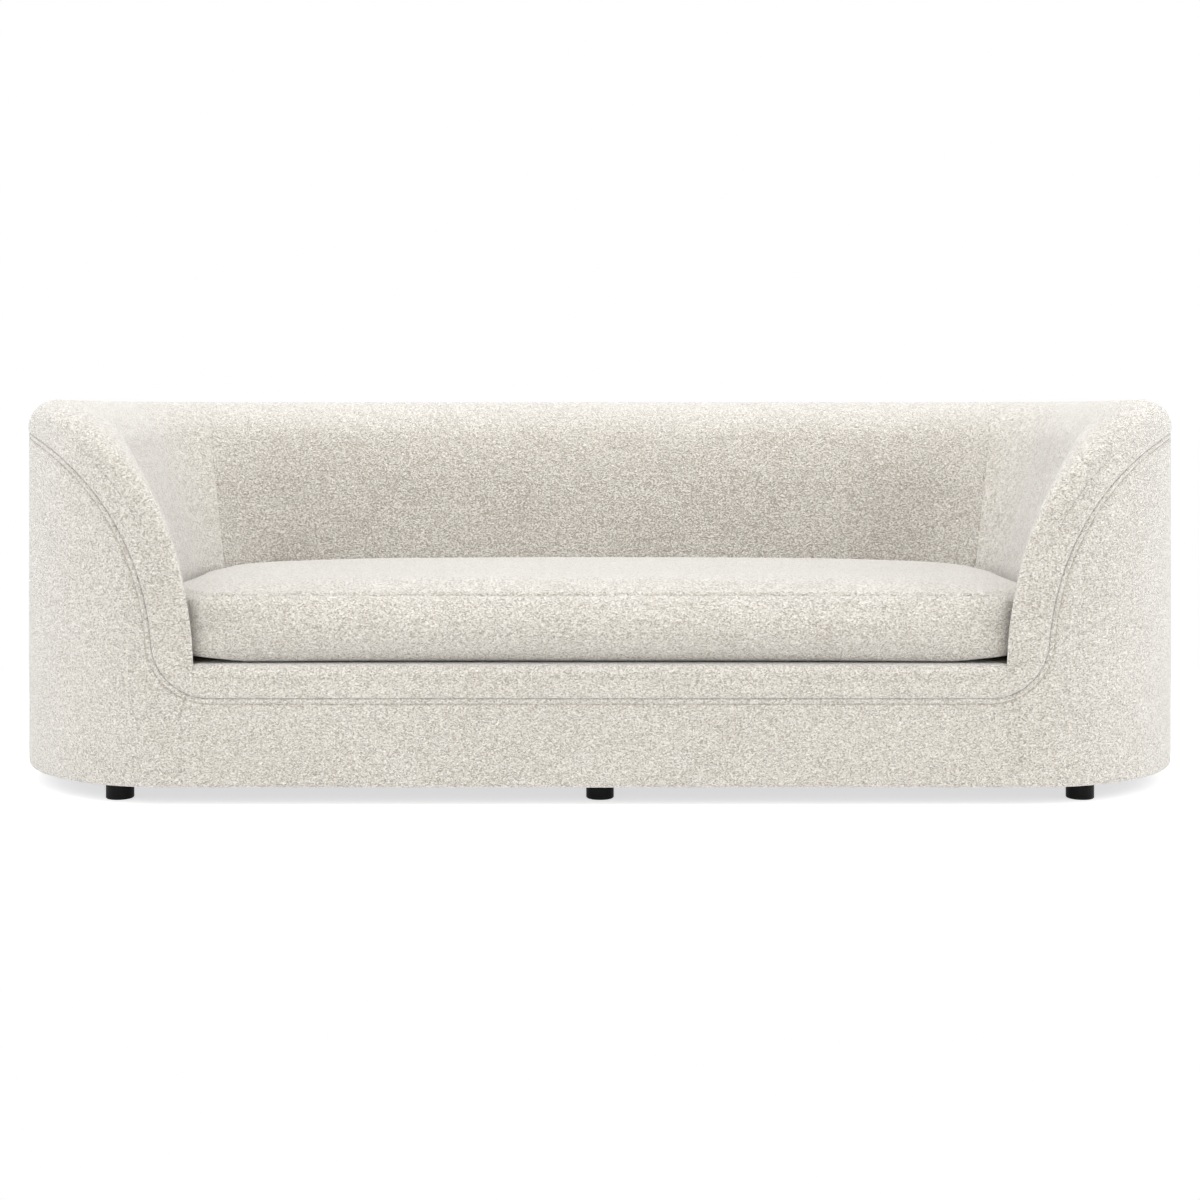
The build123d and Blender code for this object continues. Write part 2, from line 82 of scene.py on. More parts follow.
class ShellSizes(bpy.types.PropertyGroup):
    """Sizes of the padded shell."""

    width: length("Width", 2.286, "Length of the sofa, end to end")
    depth: length("Depth", 0.965, "Front to back")
    height: length("Height", 0.750, "Floor to the top of the rim")
    corner: length("Corner radius", 0.350, "Plan radius of the four outer corners")
    ground: length("Ground gap", 0.032, "Floor to the lower edge of the covers")
    sill: length("Sill height", 0.258, "Floor to the front sill and the seat deck")
    sill_depth: length("Sill depth", 0.080, "Front to back of the sill's top")
    sill_roll: length("Sill roll", 0.020, "Radius of the sill's upper front edge")
    sill_half: length("Half sill", 0.752, "Middle of the sofa to the end of the sill cover")
    nose_past: length("Nose", 0.033, "How far the rim's nose runs on past the corner's curve")
    nose_share: number("Nose share", 0.45, "Share of the scoop's turn that the inside follows")
    crest: length("Crest", 0.005, "How far above the rim the scoop's curve would peak")
    flare_rise: length("Flare", 0.132, "Sill to the height where the inside starts to lean out")
    arm_seat: length("Arm at the seat", 0.287, "Thickness of an arm at the seat")
    arm_top: length("Arm at the top", 0.158, "Thickness of an arm at the top, before its roll")
    back_seat: length("Back at the seat", 0.265, "Thickness of the back at the seat")
    back_top: length("Back at the top", 0.150, "Thickness of the back at the top, before its roll")
    lip_seat: length("Lip at the seat", 0.014, "Front to the inside curve at the seat")
    lip_top: length("Lip at the top", 0.110, "Front to the inside curve at the top")
    tub_seat: length("Inside corner at the seat", 0.175, "Plan radius of the inside corners")
    tub_top: length("Inside corner at the top", 0.200, "Plan radius of the inside corners")
    outer_run: length("Outer roll width", 0.056, "How far the rim's outer roll reaches in")
    outer_rise: length("Outer roll height", 0.048, "Height of the rim's outer roll")
    inner_run: length("Inner roll width", 0.100, "How far the rim's inner roll reaches out")
    inner_rise: length("Inner roll height", 0.084, "Height of the rim's inner roll")
    lap: length("Lap", 0.0032, "How far the rim's cover runs on behind the outside covers")
    proud: length("Proud", 0.0008, "How far the outside covers stand out from the frame's face")
    cloth: length("Cloth", 0.0025, "Thickness of the covers")


class SeamSizes(bpy.types.PropertyGroup):
    """Sizes of the sewn seams."""

    band: length("Band", 0.067, "Rim to seam, along the cover, where the rim is scooped")
    drop: length("Drop", 0.063, "Top of the rim to the seam round the arms and back")
    sill_band: length("Sill band", 0.061, "Sill to the level seam across the front")
    turn: length("Turn", 0.110, "Radius of the seam's turn into the level stretch")
    join_past: length("Join", 0.022, "Corner's end to the upright joins of front and back")
    mitre_inset: length("Mitre", 0.0365, "Arm's inside face to the mitre seam at the seat")
    mitre_lean: number("Mitre lean", 0.205, "Sideways lean of the mitre seam per unit of height")
    tuck: length("Tuck", 0.0032, "Depth to which an edge is drawn in at a seam")
    join_tuck: length("Join tuck", 0.0020, "The same at the upright joins of the outside covers")
    tuck_reach: length("Tuck reach", 0.005, "Seam to where the tuck has died out")
    puff: length("Puff", 0.034, "Seam to where the rim's swell beside it has died out")
    stitch_gap: length("Stitch gap", 0.0100, "Seam's edge to the row of top stitches")
    stitch_length: length("Stitch", 0.0062, "Length of one stitch")
    stitch_pitch: length("Stitch pitch", 0.0092, "From one stitch to the next")
    stitch_radius: length("Thread", 0.0007, "Half the thickness of the thread")


class CushionSizes(bpy.types.PropertyGroup):
    """Sizes of the bench cushion."""

    gap: length("Gap", 0.005, "Room between the cushion and the tub")
    setback: length("Setback", 0.020, "Front of the sofa to the cushion's front")
    side: length("Side", 0.1277, "Height of the boxed sides")
    corner: length("Corner", 0.170, "Plan radius of the corners")
    lift: length("Lift", 0.010, "Rise of the lower front corners")
    lift_run: length("Lift run", 0.120, "Length over which they rise")
    shrink: length("Shrink", 0.004, "How much smaller the cover is sewn than it fills to")
    most_swell: length("Most swell", 0.030, "Furthest that filling may push the cover")
    pressure: number("Pressure", 0.45, "Filling pressure")
    voxel: length("Cloth grid", 0.0115, "Grid of the cloth that is filled")
    seam_depth: length("Seam depth", 0.0045, "Depth of the seam round the top")
    seam_half: length("Seam half width", 0.0030, "Half the width of that seam")
    tooth_pitch: length("Zip tooth pitch", 0.0030, "From one tooth of the zip to the next")
    soft_foot: length("Soft foot", 0.017, "Radius of the lower edge as it fills")
    firm_foot: length("Firm foot", 0.005, "Radius that its boxed border holds it to")


class Finishes(bpy.types.PropertyGroup):
    """Colours of the cloth, the feet and the frame."""

    loop_light: colour("Loops", (0.840, 0.806, 0.740), "Tops of the looped yarn")
    # Painted shade: the ground between the loops is coloured as the shade that falls in the gaps.
    loop_gap_shade: colour("Ground", (0.410, 0.366, 0.306), "Ground between the loops")
    # Painted shade: the extra contrast of the loops where the inside back is painted darker.
    loop_contrast: number("Contrast", 1.5, "How much more the loops stand out on the inside back")
    thread: colour("Thread", (0.520, 0.465, 0.390), "Sewing thread")
    deck_cloth: colour("Deck cloth", (0.620, 0.570, 0.480), "Plain cloth under the cushion")
    lining: colour("Lining", (0.018, 0.018, 0.020), "Black lining cloth")
    foot: colour("Feet", (0.003, 0.003, 0.003), "Satin black of the feet")
    timber: colour("Timber", (0.560, 0.370, 0.200), "Plywood and pine")
    foam: colour("Foam", (0.780, 0.700, 0.480), "Foam")
    steel: colour("Steel", (0.480, 0.490, 0.510), "Plain steel")


def mix(start, stop, share):
    """A value between two others."""
    return start + (stop - start) * share


def between(start, stop, steps):
    """Evenly spaced values from one to another, both included."""
    return [mix(start, stop, step / steps) for step in range(steps + 1)]


def smooth_step(share):
    """A share of 0 to 1, eased at both ends."""
    share = min(max(share, 0), 1)
    return share * share * (3 - 2 * share)


def cubic(a, b, c, d, share):
    """A point of a cubic curve."""
    rest = 1 - share
    return rest**3 * a + 3 * rest**2 * share * b + 3 * rest * share**2 * c + share**3 * d


def read_off(pairs, place):
    """The second value at a place among pairs in order of their first."""
    for (a, b), (c, d) in zip(pairs, pairs[1:]):
        if a <= place <= c:
            return mix(b, d, (place - a) / max(c - a, 1e-9))
    return pairs[-1][1]


class Shell:
    """Works out places on the padded shell from its sizes."""

    # Distance above the seam within which the rim's cover lies its full depth behind the face.
    lap_end = 0.012

    def __init__(self):
        self.size = size = bpy.context.scene.shell_sizes
        self.seam = seam = bpy.context.scene.seam_sizes
        self.front = -size.depth / 2
        self.core_x = size.width / 2 - size.corner
        self.core_y = size.depth / 2 - size.corner
        self.arm = 2 * self.core_y
        self.quarter = size.corner * pi / 2
        self.back_end = -self.arm - self.quarter - self.core_x
        self.front_end = self.quarter + self.core_x
        self.rim_span = self.quarter + size.nose_past
        self.flare_start = size.sill + size.flare_rise
        self.seam_top = size.height - seam.drop
        self.seam_low = size.sill - seam.sill_band
        self.course = self.seam_course()

    def outer_point(self, along, inset):
        """Plan point of the outer face, by length from the front end of the left arm's straight."""
        size = self.size
        radius = size.corner - inset
        if along > self.quarter:
            return -self.core_x + along - self.quarter, self.front + inset
        if along >= 0:
            turn = along / size.corner
            return -self.core_x - radius * cos(turn), -self.core_y - radius * sin(turn)
        if along >= -self.arm:
            return -size.width / 2 + inset, -self.core_y - along
        turn = (-self.arm - along) / size.corner
        if turn <= pi / 2:
            return -self.core_x - radius * cos(turn), self.core_y + radius * sin(turn)
        return -self.core_x - self.arm - self.quarter - along, -self.front - inset

    def along(self, point):
        """Length round the outer face to a plan point at the left front, and its depth."""
        x, y = point[0] + self.core_x, point[1] + self.core_y
        if x > 0:
            return self.quarter + x, point[1] - self.front
        if y > 0:
            return -y, point[0] + self.size.width / 2
        return self.size.corner * atan2(-y, -x), self.size.corner - hypot(x, y)

    def lapped(self, along, z):
        """How deep the rim's cover lies at a place: it drops behind the outside covers."""
        puff = self.seam.puff
        share = (puff - self.course.above(along, z)) / (puff - self.lap_end)
        return self.size.lap * smooth_step(share)

    def rolled(self, z, run, rise):
        """How far a roll of the rim draws in at a height."""
        share = min(max((z - self.size.height + rise) / rise, 0), 1)
        return run * (1 - sqrt(1 - share**2))

    def reach(self, z, span, power):
        """How far round the corner the scoop comes at a height."""
        size = self.size
        share = max(z - size.sill, 0) / (size.height + size.crest - size.sill)
        return span * (1 - share**2) ** power

    def half_contour(self, z, counts, bare=False):
        """Left half of the wall at a height: back, arm, nose and inside, in the given steps."""
        size = self.size
        back_steps, corner_steps, arm_steps, front_steps, nose_steps = counts
        outer = self.rolled(z, size.outer_run, size.outer_rise)
        inner = self.rolled(z, size.inner_run, size.inner_rise)
        flare = max(0, (z - self.flare_start) / (size.height - self.flare_start))
        half = size.width / 2 - mix(size.arm_seat, size.arm_top, flare) + inner
        rear = size.depth / 2 - mix(size.back_seat, size.back_top, flare) + inner
        lip = self.front + mix(size.lip_seat, size.lip_top, flare) - inner
        radius = mix(size.tub_seat, size.tub_top, flare) + inner
        tip_reach = self.reach(z, self.rim_span, 1 / 3)
        nose_reach = self.reach(z, self.quarter, 1 / 2)
        turn_out = nose_reach / size.corner
        turn_in = size.nose_share * tip_reach / size.corner

        corner = -self.arm - self.quarter
        places = between(self.back_end, corner, back_steps)
        places += between(corner, -self.arm, corner_steps)[1:]
        places += between(-self.arm, 0, arm_steps)[1:]
        places += between(0, nose_reach, front_steps)[1:]
        outside = [
            Vector(self.outer_point(place, outer + (0 if bare else self.lapped(place, z))))
            for place in places
        ]

        centre = Vector((radius - half, lip + radius))
        turns = between(turn_in, 0, front_steps)
        inside = [centre - radius * Vector((cos(turn), sin(turn))) for turn in turns]
        inside += [Vector((-half, y)) for y in between(lip + radius, rear - radius, arm_steps)[1:]]
        centre = Vector((radius - half, rear - radius))
        turns = between(0, pi / 2, corner_steps)[1:]
        inside += [centre + radius * Vector((-cos(turn), sin(turn))) for turn in turns]
        inside += [Vector((x, rear)) for x in between(radius - half, 0, back_steps)[1:]]

        start, end = outside[-1], inside[0]
        way_out = Vector((sin(turn_out), -cos(turn_out)))
        way_in = Vector((sin(turn_in), -cos(turn_in)))
        along = (way_out + way_in).normalized()
        tip = Vector(self.outer_point(tip_reach, outer))
        # A cubic curve's middle lies 3/8 of the way along each of its two handles.
        handle = (tip - (start + end) / 2).dot(along) / (0.375 * (way_out + way_in).dot(along))
        handles = start + way_out * handle, end + way_in * handle
        nose = [cubic(start, *handles, end, share) for share in between(0, 1, nose_steps)[1:-1]]
        return [Vector((x, y, z)) for x, y in outside + nose + inside]

    def depths(self, z):
        """Lengths and depths of the outer face as it turns in at the nose at a height."""
        outside, nose = 4, 40
        contour = self.half_contour(z, (1, 1, 1, outside, nose), bare=True)
        return [self.along(point) for point in contour[2 : 4 + outside + nose // 2]]

    def seam_course(self):
        """The sewn seam on the unrolled outer face, from the middle of the back to the front's."""
        size, seam = self.size, self.seam
        step, fall_steps, turn_steps = 0.004, 240, 40
        span = self.rim_span - seam.band
        rise = self.seam_top - size.sill
        end = asin((self.seam_low + seam.turn - size.sill) / rise)
        flat = int(-self.back_end / step)
        course = [(along, self.seam_top) for along in between(self.back_end, 0, flat)[:-1]]
        for share in between(0, 1, fall_steps)[:-1]:
            angle = mix(pi / 2, end, share**1.5)
            course.append((span * max(cos(angle), 0) ** (2 / 3), size.sill + rise * sin(angle)))
        turn_start = span * cos(end) ** (2 / 3)
        for angle in between(0, pi / 2, turn_steps)[:-1]:
            across, up = 1 - cos(angle), 1 - sin(angle)
            course.append((turn_start + seam.turn * across, self.seam_low + seam.turn * up))
        turn_end = turn_start + seam.turn
        level = int((self.front_end - turn_end) / step)
        course += [(along, self.seam_low) for along in between(turn_end, self.front_end, level)]
        return Course(course)

    def mitre_plane(self, side):
        """A point and the outward normal of the leaning seam between the back and one arm."""
        size, seam = self.size, self.seam
        at_seat = size.width / 2 - size.arm_seat - seam.mitre_inset
        return (
            Vector((side * at_seat, 0, self.flare_start)),
            Vector((side, 0, -seam.mitre_lean)).normalized(),
        )


class Course:
    """A line on the unrolled outer face that can be read by its length."""

    def __init__(self, points):
        self.points = points
        self.marks = [0.0]
        for (a, b), (c, d) in zip(points, points[1:]):
            self.marks.append(self.marks[-1] + hypot(c - a, d - b))
        self.length = self.marks[-1]
        self.tree = KDTree(len(points))
        for index, (along, z) in enumerate(points):
            self.tree.insert((along, z, 0), index)
        self.tree.balance()

    def at(self, mark):
        """The point at a length."""
        low = min(max(bisect_right(self.marks, mark) - 1, 0), len(self.marks) - 2)
        share = (mark - self.marks[low]) / (self.marks[low + 1] - self.marks[low])
        (a, b), (c, d) = self.points[low : low + 2]
        return mix(a, c, share), mix(b, d, share)

    def beside(self, mark, gap):
        """The point at a length, moved to the lower side by a gap."""
        reach = 0.003
        (a, b) = self.at(max(mark - reach, 0))
        (c, d) = self.at(min(mark + reach, self.length))
        size = hypot(c - a, d - b)
        along, z = self.at(mark)
        return along + gap * (d - b) / size, z - gap * (c - a) / size

    def mark_of(self, along, gap):
        """The length at which a line beside this one, by a gap, passes a place."""
        for mark, after in zip(self.marks, self.marks[1:]):
            a, c = self.beside(mark, gap)[0], self.beside(after, gap)[0]
            if a <= along <= c:
                return mix(mark, after, (along - a) / (c - a))
        raise ValueError("the line doesn't reach that place")

    def above(self, along, z):
        """Distance from the line to a place, less than nothing on the lower side."""
        _, index, gap = self.tree.find((along, z, 0))
        (a, b) = self.points[max(index - 1, 0)]
        (c, d) = self.points[min(index + 1, len(self.points) - 1)]
        return gap if (c - a) * (z - b) - (d - b) * (along - a) > 0 else -gap


def everything(bm):
    """All that a mesh is made of."""
    return bm.verts[:] + bm.edges[:] + bm.faces[:]


def chain(bm, points, closed=False):
    """Adds a row of points joined by edges."""
    verts = [bm.verts.new(point) for point in points]
    pairs = list(zip(verts, verts[1:]))
    if closed:
        pairs.append((verts[-1], verts[0]))
    return [bm.edges.new(pair) for pair in pairs]


def skin(bm, rows, closed=False):
    """Bridges rows of points into a surface and returns their edges."""
    chains = [chain(bm, row, closed) for row in rows]
    for low, high in zip(chains, chains[1:]):
        bmesh.ops.bridge_loops(bm, edges=low + high)
    return chains


def mirrored(bm):
    """Adds the right half to a left half."""
    bmesh.ops.mirror(bm, geom=everything(bm), axis="X", merge_dist=1e-5)


def cut(bm, place, normal, geometry=None, snap=1e-6):
    """Cuts a mesh, or some of it, along a plane."""
    geometry = geometry or everything(bm)
    bmesh.ops.bisect_plane(bm, geom=geometry, dist=snap, plane_co=place, plane_no=normal)


def face_out(bm, outward):
    """Turns all the faces to point the way that a test says is outward."""
    bmesh.ops.recalc_face_normals(bm, faces=bm.faces[:])
    bm.normal_update()
    if sum(outward(face) for face in bm.faces) < 0:
        bmesh.ops.reverse_faces(bm, faces=bm.faces[:])


def keep_faces(bm, wanted):
    """Deletes the faces that aren't wanted."""
    spare = [face for face in bm.faces if not wanted(face.calc_center_median())]
    bmesh.ops.delete(bm, geom=spare, context="FACES")


@contextmanager
def edited(piece):
    """A piece's mesh, opened for editing."""
    bm = bmesh.new()
    bm.from_mesh(piece.data)
    yield bm
    bm.to_mesh(piece.data)
    bm.free()


def shade(piece, smooth):
    """Shades all the faces of a piece smooth or flat."""
    for polygon in piece.data.polygons:
        polygon.use_smooth = smooth


def new_piece(name, bm, body, slot, replaced=(), material=None):
    """Makes a smooth-shaded object of a mesh, rides it on a body and frees the mesh."""
    for edge in bm.edges:
        edge.smooth = not edge.is_boundary
    mesh = bpy.data.meshes.new(name)
    bm.to_mesh(mesh)
    bm.free()
    piece = bpy.data.objects.new(name, mesh)
    bpy.context.scene.collection.objects.link(piece)
    shade(piece, True)
    mesh.materials.append(material or slot_finish(slot))
    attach(piece, body)
    if replaced:
        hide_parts(*replaced)
    return piece


def thicken(piece, thickness, offset=-1):
    """Gives a cloth its thickness."""
    wall = piece.modifiers.new("Cloth", "SOLIDIFY")
    wall.thickness = thickness
    wall.offset = offset


def soften(piece):
    """Subdivides a cover and gives its cloth a thickness."""
    smooth = piece.modifiers.new("Smooth", "SUBSURF")
    smooth.levels = smooth.render_levels = 1
    thicken(piece, bpy.context.scene.shell_sizes.cloth)


class Wire:
    """A shader value that adds Math nodes as it is worked with."""

    def __init__(self, made, socket):
        self.made = made
        self.socket = socket

    def math(self, operation, first, second):
        return self.made.add("ShaderNodeMath", {"operation": operation}, {0: first, 1: second})

    def __add__(self, other):
        return self.math("ADD", self, other)

    __radd__ = __add__

    def __sub__(self, other):
        return self.math("SUBTRACT", self, other)

    def __rsub__(self, other):
        return self.math("SUBTRACT", other, self)

    def __mul__(self, other):
        return self.math("MULTIPLY", self, other)

    __rmul__ = __mul__

    def __abs__(self):
        return self.math("ABSOLUTE", self, 0.0)


class Finish:
    """A material and the nodes that make it."""

    def __init__(self, name):
        self.material = bpy.data.materials.new(name)
        self.material.use_nodes = True
        self.nodes = self.material.node_tree.nodes
        self.links = self.material.node_tree.links
        self.shader = self.nodes["Principled BSDF"]

    def add(self, kind, settings, inputs, output=0):
        """Adds a node with its settings, then its inputs, and returns one of its outputs."""
        node = self.nodes.new(kind)
        for name, value in settings.items():
            setattr(node, name, value)
        for name, value in inputs.items():
            self.feed(node.inputs[name], value)
        return Wire(self, node.outputs[output])

    def feed(self, socket, value):
        """Links or sets a socket."""
        if isinstance(value, Wire):
            self.links.new(value.socket, socket)
        else:
            socket.default_value = value

    def place(self):
        """Where a point lies on the object."""
        return self.add("ShaderNodeTexCoord", {}, {}, "Object")

    def axis(self, place, name):
        """One coordinate of a place."""
        return self.add("ShaderNodeSeparateXYZ", {}, {"Vector": place}, name)

    def stretched(self, place, scale):
        """A place, stretched along the axes."""
        return self.add("ShaderNodeMapping", {}, {"Vector": place, "Scale": scale})

    def noise(self, place, scale, detail, output="Fac"):
        """Cloudy noise."""
        inputs = {"Vector": place, "Scale": scale, "Detail": detail, "Roughness": 0.55}
        return self.add("ShaderNodeTexNoise", {}, inputs, output)

    def cells(self, place, scale):
        """Distance to the nearest of scattered points."""
        return self.add("ShaderNodeTexVoronoi", {}, {"Vector": place, "Scale": scale})

    def ramp(self, value, start, stop):
        """A value's share of the way from a start to a stop, from 0 to 1."""
        inputs = {"Value": value, "From Min": start, "From Max": stop}
        return self.add("ShaderNodeMapRange", {}, inputs)

    def blended(self, share, dark, light):
        """A colour between two, by a value."""
        tones = [tone if isinstance(tone, Wire) else (*tone, 1) for tone in (dark, light)]
        inputs = {0: share, 6: tones[0], 7: tones[1]}
        return self.add("ShaderNodeMix", {"data_type": "RGBA"}, inputs, 2)

    def surface(self, **inputs):
        """Sets or links the shader's sockets."""
        for name, value in inputs.items():
            self.feed(self.shader.inputs[name.replace("_", " ")], value)
        return self.material

    def bumped(self, height, strength, distance):
        """A normal that follows a height in metres."""
        inputs = {"Height": height, "Strength": strength, "Distance": distance}
        return self.add("ShaderNodeBump", {}, inputs)


def scaled(tone, share):
    """A colour made darker or lighter."""
    return [value * share for value in tone]


def boucle(name, painted_shade=0.0, clump=0.0):
    """Looped cream cloth: curls of yarn over a ground darkened with painted shade.

    Given a share of painted shade, the cloth below the rim is painted that much darker and its
    loops stand out more, as painted shade inside the tub.
    With a clump, the loops inside the arms gather into tufts of about 10 mm.
    """
    # Heights between which the painted shade fades in, then depths and sideways places between
    # which the tufts fade in.
    shade_heights, behind_nose, inside_arm = (0.73, 0.56), (-0.43, -0.36), (1.02, 0.98)
    mean_share, drift_size = 0.62, 0.006
    # Waves of the drift, loops, curls, fibres, patches and tufts per metre.
    drifts, loops, curls, fibres, patches, tufts = 160, 290, 265, 900, 7, 95
    tones = bpy.context.scene.finishes
    made = Finish(name)
    place = made.place()
    drift = made.add(
        "ShaderNodeVectorMath",
        {"operation": "MULTIPLY_ADD"},
        {0: made.noise(place, drifts, 2, "Color"), 1: (drift_size,) * 3, 2: place},
    )
    drift = made.stretched(drift, (0.8, 0.8, 1.3))
    loop = 1 - made.cells(drift, loops) * 1.15
    curl = 1 - abs(made.noise(drift, curls, 1) * 2 - 1) * 2.4
    fibre = made.noise(place, fibres, 2)
    height = loop * 0.5 + curl * 0.4 + fibre * 0.2
    patch = made.noise(place, patches, 2)
    share = made.ramp(height + (patch - 0.5) * 0.10, 0.28, 0.78)
    if clump:
        tub = made.ramp(made.axis(place, "Y"), *behind_nose)
        tub = tub * made.ramp(abs(made.axis(place, "X")), *inside_arm)
        share = share + (made.noise(place, tufts, 2) - 0.5) * tub * clump
    # The low parts between the loops take the painted shade of the gaps.
    tone = made.blended(share, tones.loop_gap_shade, tones.loop_light)
    # Painted shade: below the rim the cloth is painted darker, with stronger loops, in place of the
    # shade that falls inside the tub.
    if painted_shade:
        below = made.ramp(made.axis(place, "Z"), *shade_heights)
        share = (share - mean_share) * (below * tones.loop_contrast + 1) + mean_share
        pair = [scaled(tone, 1 - painted_shade) for tone in (tones.loop_gap_shade, tones.loop_light)]
        tone = made.blended(below, tone, made.blended(share, *pair))
    return made.surface(
        Base_Color=tone,
        Roughness=0.95,
        Normal=made.bumped(height, 1.0, 0.0040),
        Specular_IOR_Level=0.15,
        Sheen_Weight=1.0,
        Sheen_Roughness=0.45,
    )


def woven(name, tone, threads):
    """Plain woven cloth in one of the finishes' colours."""
    tone = getattr(bpy.context.scene.finishes, tone)
    made = Finish(name)
    place = made.place()
    inputs = {"Vector": place, "Scale": threads}
    warp, weft = (made.add("ShaderNodeTexWave", {"bands_direction": way}, inputs) for way in "XY")
    cross = (warp + weft) * 0.5
    share = cross * 0.6 + made.noise(place, 30, 3) * 0.4
    return made.surface(
        Base_Color=made.blended(share, scaled(tone, 0.72), scaled(tone, 1.12)),
        Roughness=0.9,
        Normal=made.bumped(cross, 0.4, 0.0006),
        Specular_IOR_Level=0.2,
    )


def satin_black(name):
    """Moulded black feet with a fine grain and faint scuffs."""
    tone = bpy.context.scene.finishes.foot
    made = Finish(name)
    place = made.place()
    grain = made.noise(place, 1400, 2)
    scuff = made.noise(made.stretched(place, (1, 1, 6)), 40, 3)
    return made.surface(
        Base_Color=made.blended(scuff, tone, scaled(tone, 1.7)),
        Roughness=0.42 + scuff * 0.12,
        Normal=made.bumped(grain, 0.2, 0.0003),
        Specular_IOR_Level=0.1,
    )


def timber(name):
    """Plain plywood and pine with a soft grain."""
    tone = bpy.context.scene.finishes.timber
    made = Finish(name)
    place = made.stretched(made.place(), (1.0, 1.0, 14.0))
    grain = made.noise(place, 9, 5)
    pore = made.noise(place, 120, 2)
    return made.surface(
        Base_Color=made.blended(grain, scaled(tone, 0.7), scaled(tone, 1.2)),
        Roughness=0.55 + pore * 0.2,
        Normal=made.bumped(pore, 0.3, 0.0004),
    )


def foam(name):
    """Open-cell foam."""
    tone = bpy.context.scene.finishes.foam
    made = Finish(name)
    cells = made.cells(made.place(), 400.0)
    return made.surface(
        Base_Color=made.blended(cells, tone, scaled(tone, 0.8)),
        Roughness=0.95,
        Normal=made.bumped(cells, 0.5, 0.001),
    )


def plain_steel(name):
    """Drawn steel wire and turned fixings."""
    tone = bpy.context.scene.finishes.steel
    made = Finish(name)
    streak = made.noise(made.stretched(made.place(), (40, 1, 40)), 30, 3)
    return made.surface(
        Base_Color=made.blended(streak, scaled(tone, 0.8), tone),
        Metallic=1.0,
        Roughness=0.3 + streak * 0.2,
    )


# The usual finish of each material slot: its name, its maker and, if woven, colour and threads.
SLOT_FINISHES = {
    "boucle": ("boucle_cream", boucle),
    "timber": ("timber", timber),
    "steel": ("plain_steel", plain_steel),
    "zip_metal": ("plain_steel", plain_steel),
    "foot_finish": ("satin_black", satin_black),
    "foam": ("foam", foam),
    "lining": ("lining", woven, "lining", 500.0),
    "deck_cloth": ("deck_cloth", woven, "deck_cloth", 420.0),
    "zip_tape": ("zip_tape", woven, "thread", 700.0),
}


def finish(name, maker, *args):
    """A finish by name, made the first time that it is asked for."""
    return bpy.data.materials.get(name) or maker(name, *args)


def slot_finish(slot):
    """The usual finish of a material slot."""
    return finish(*SLOT_FINISHES[slot])


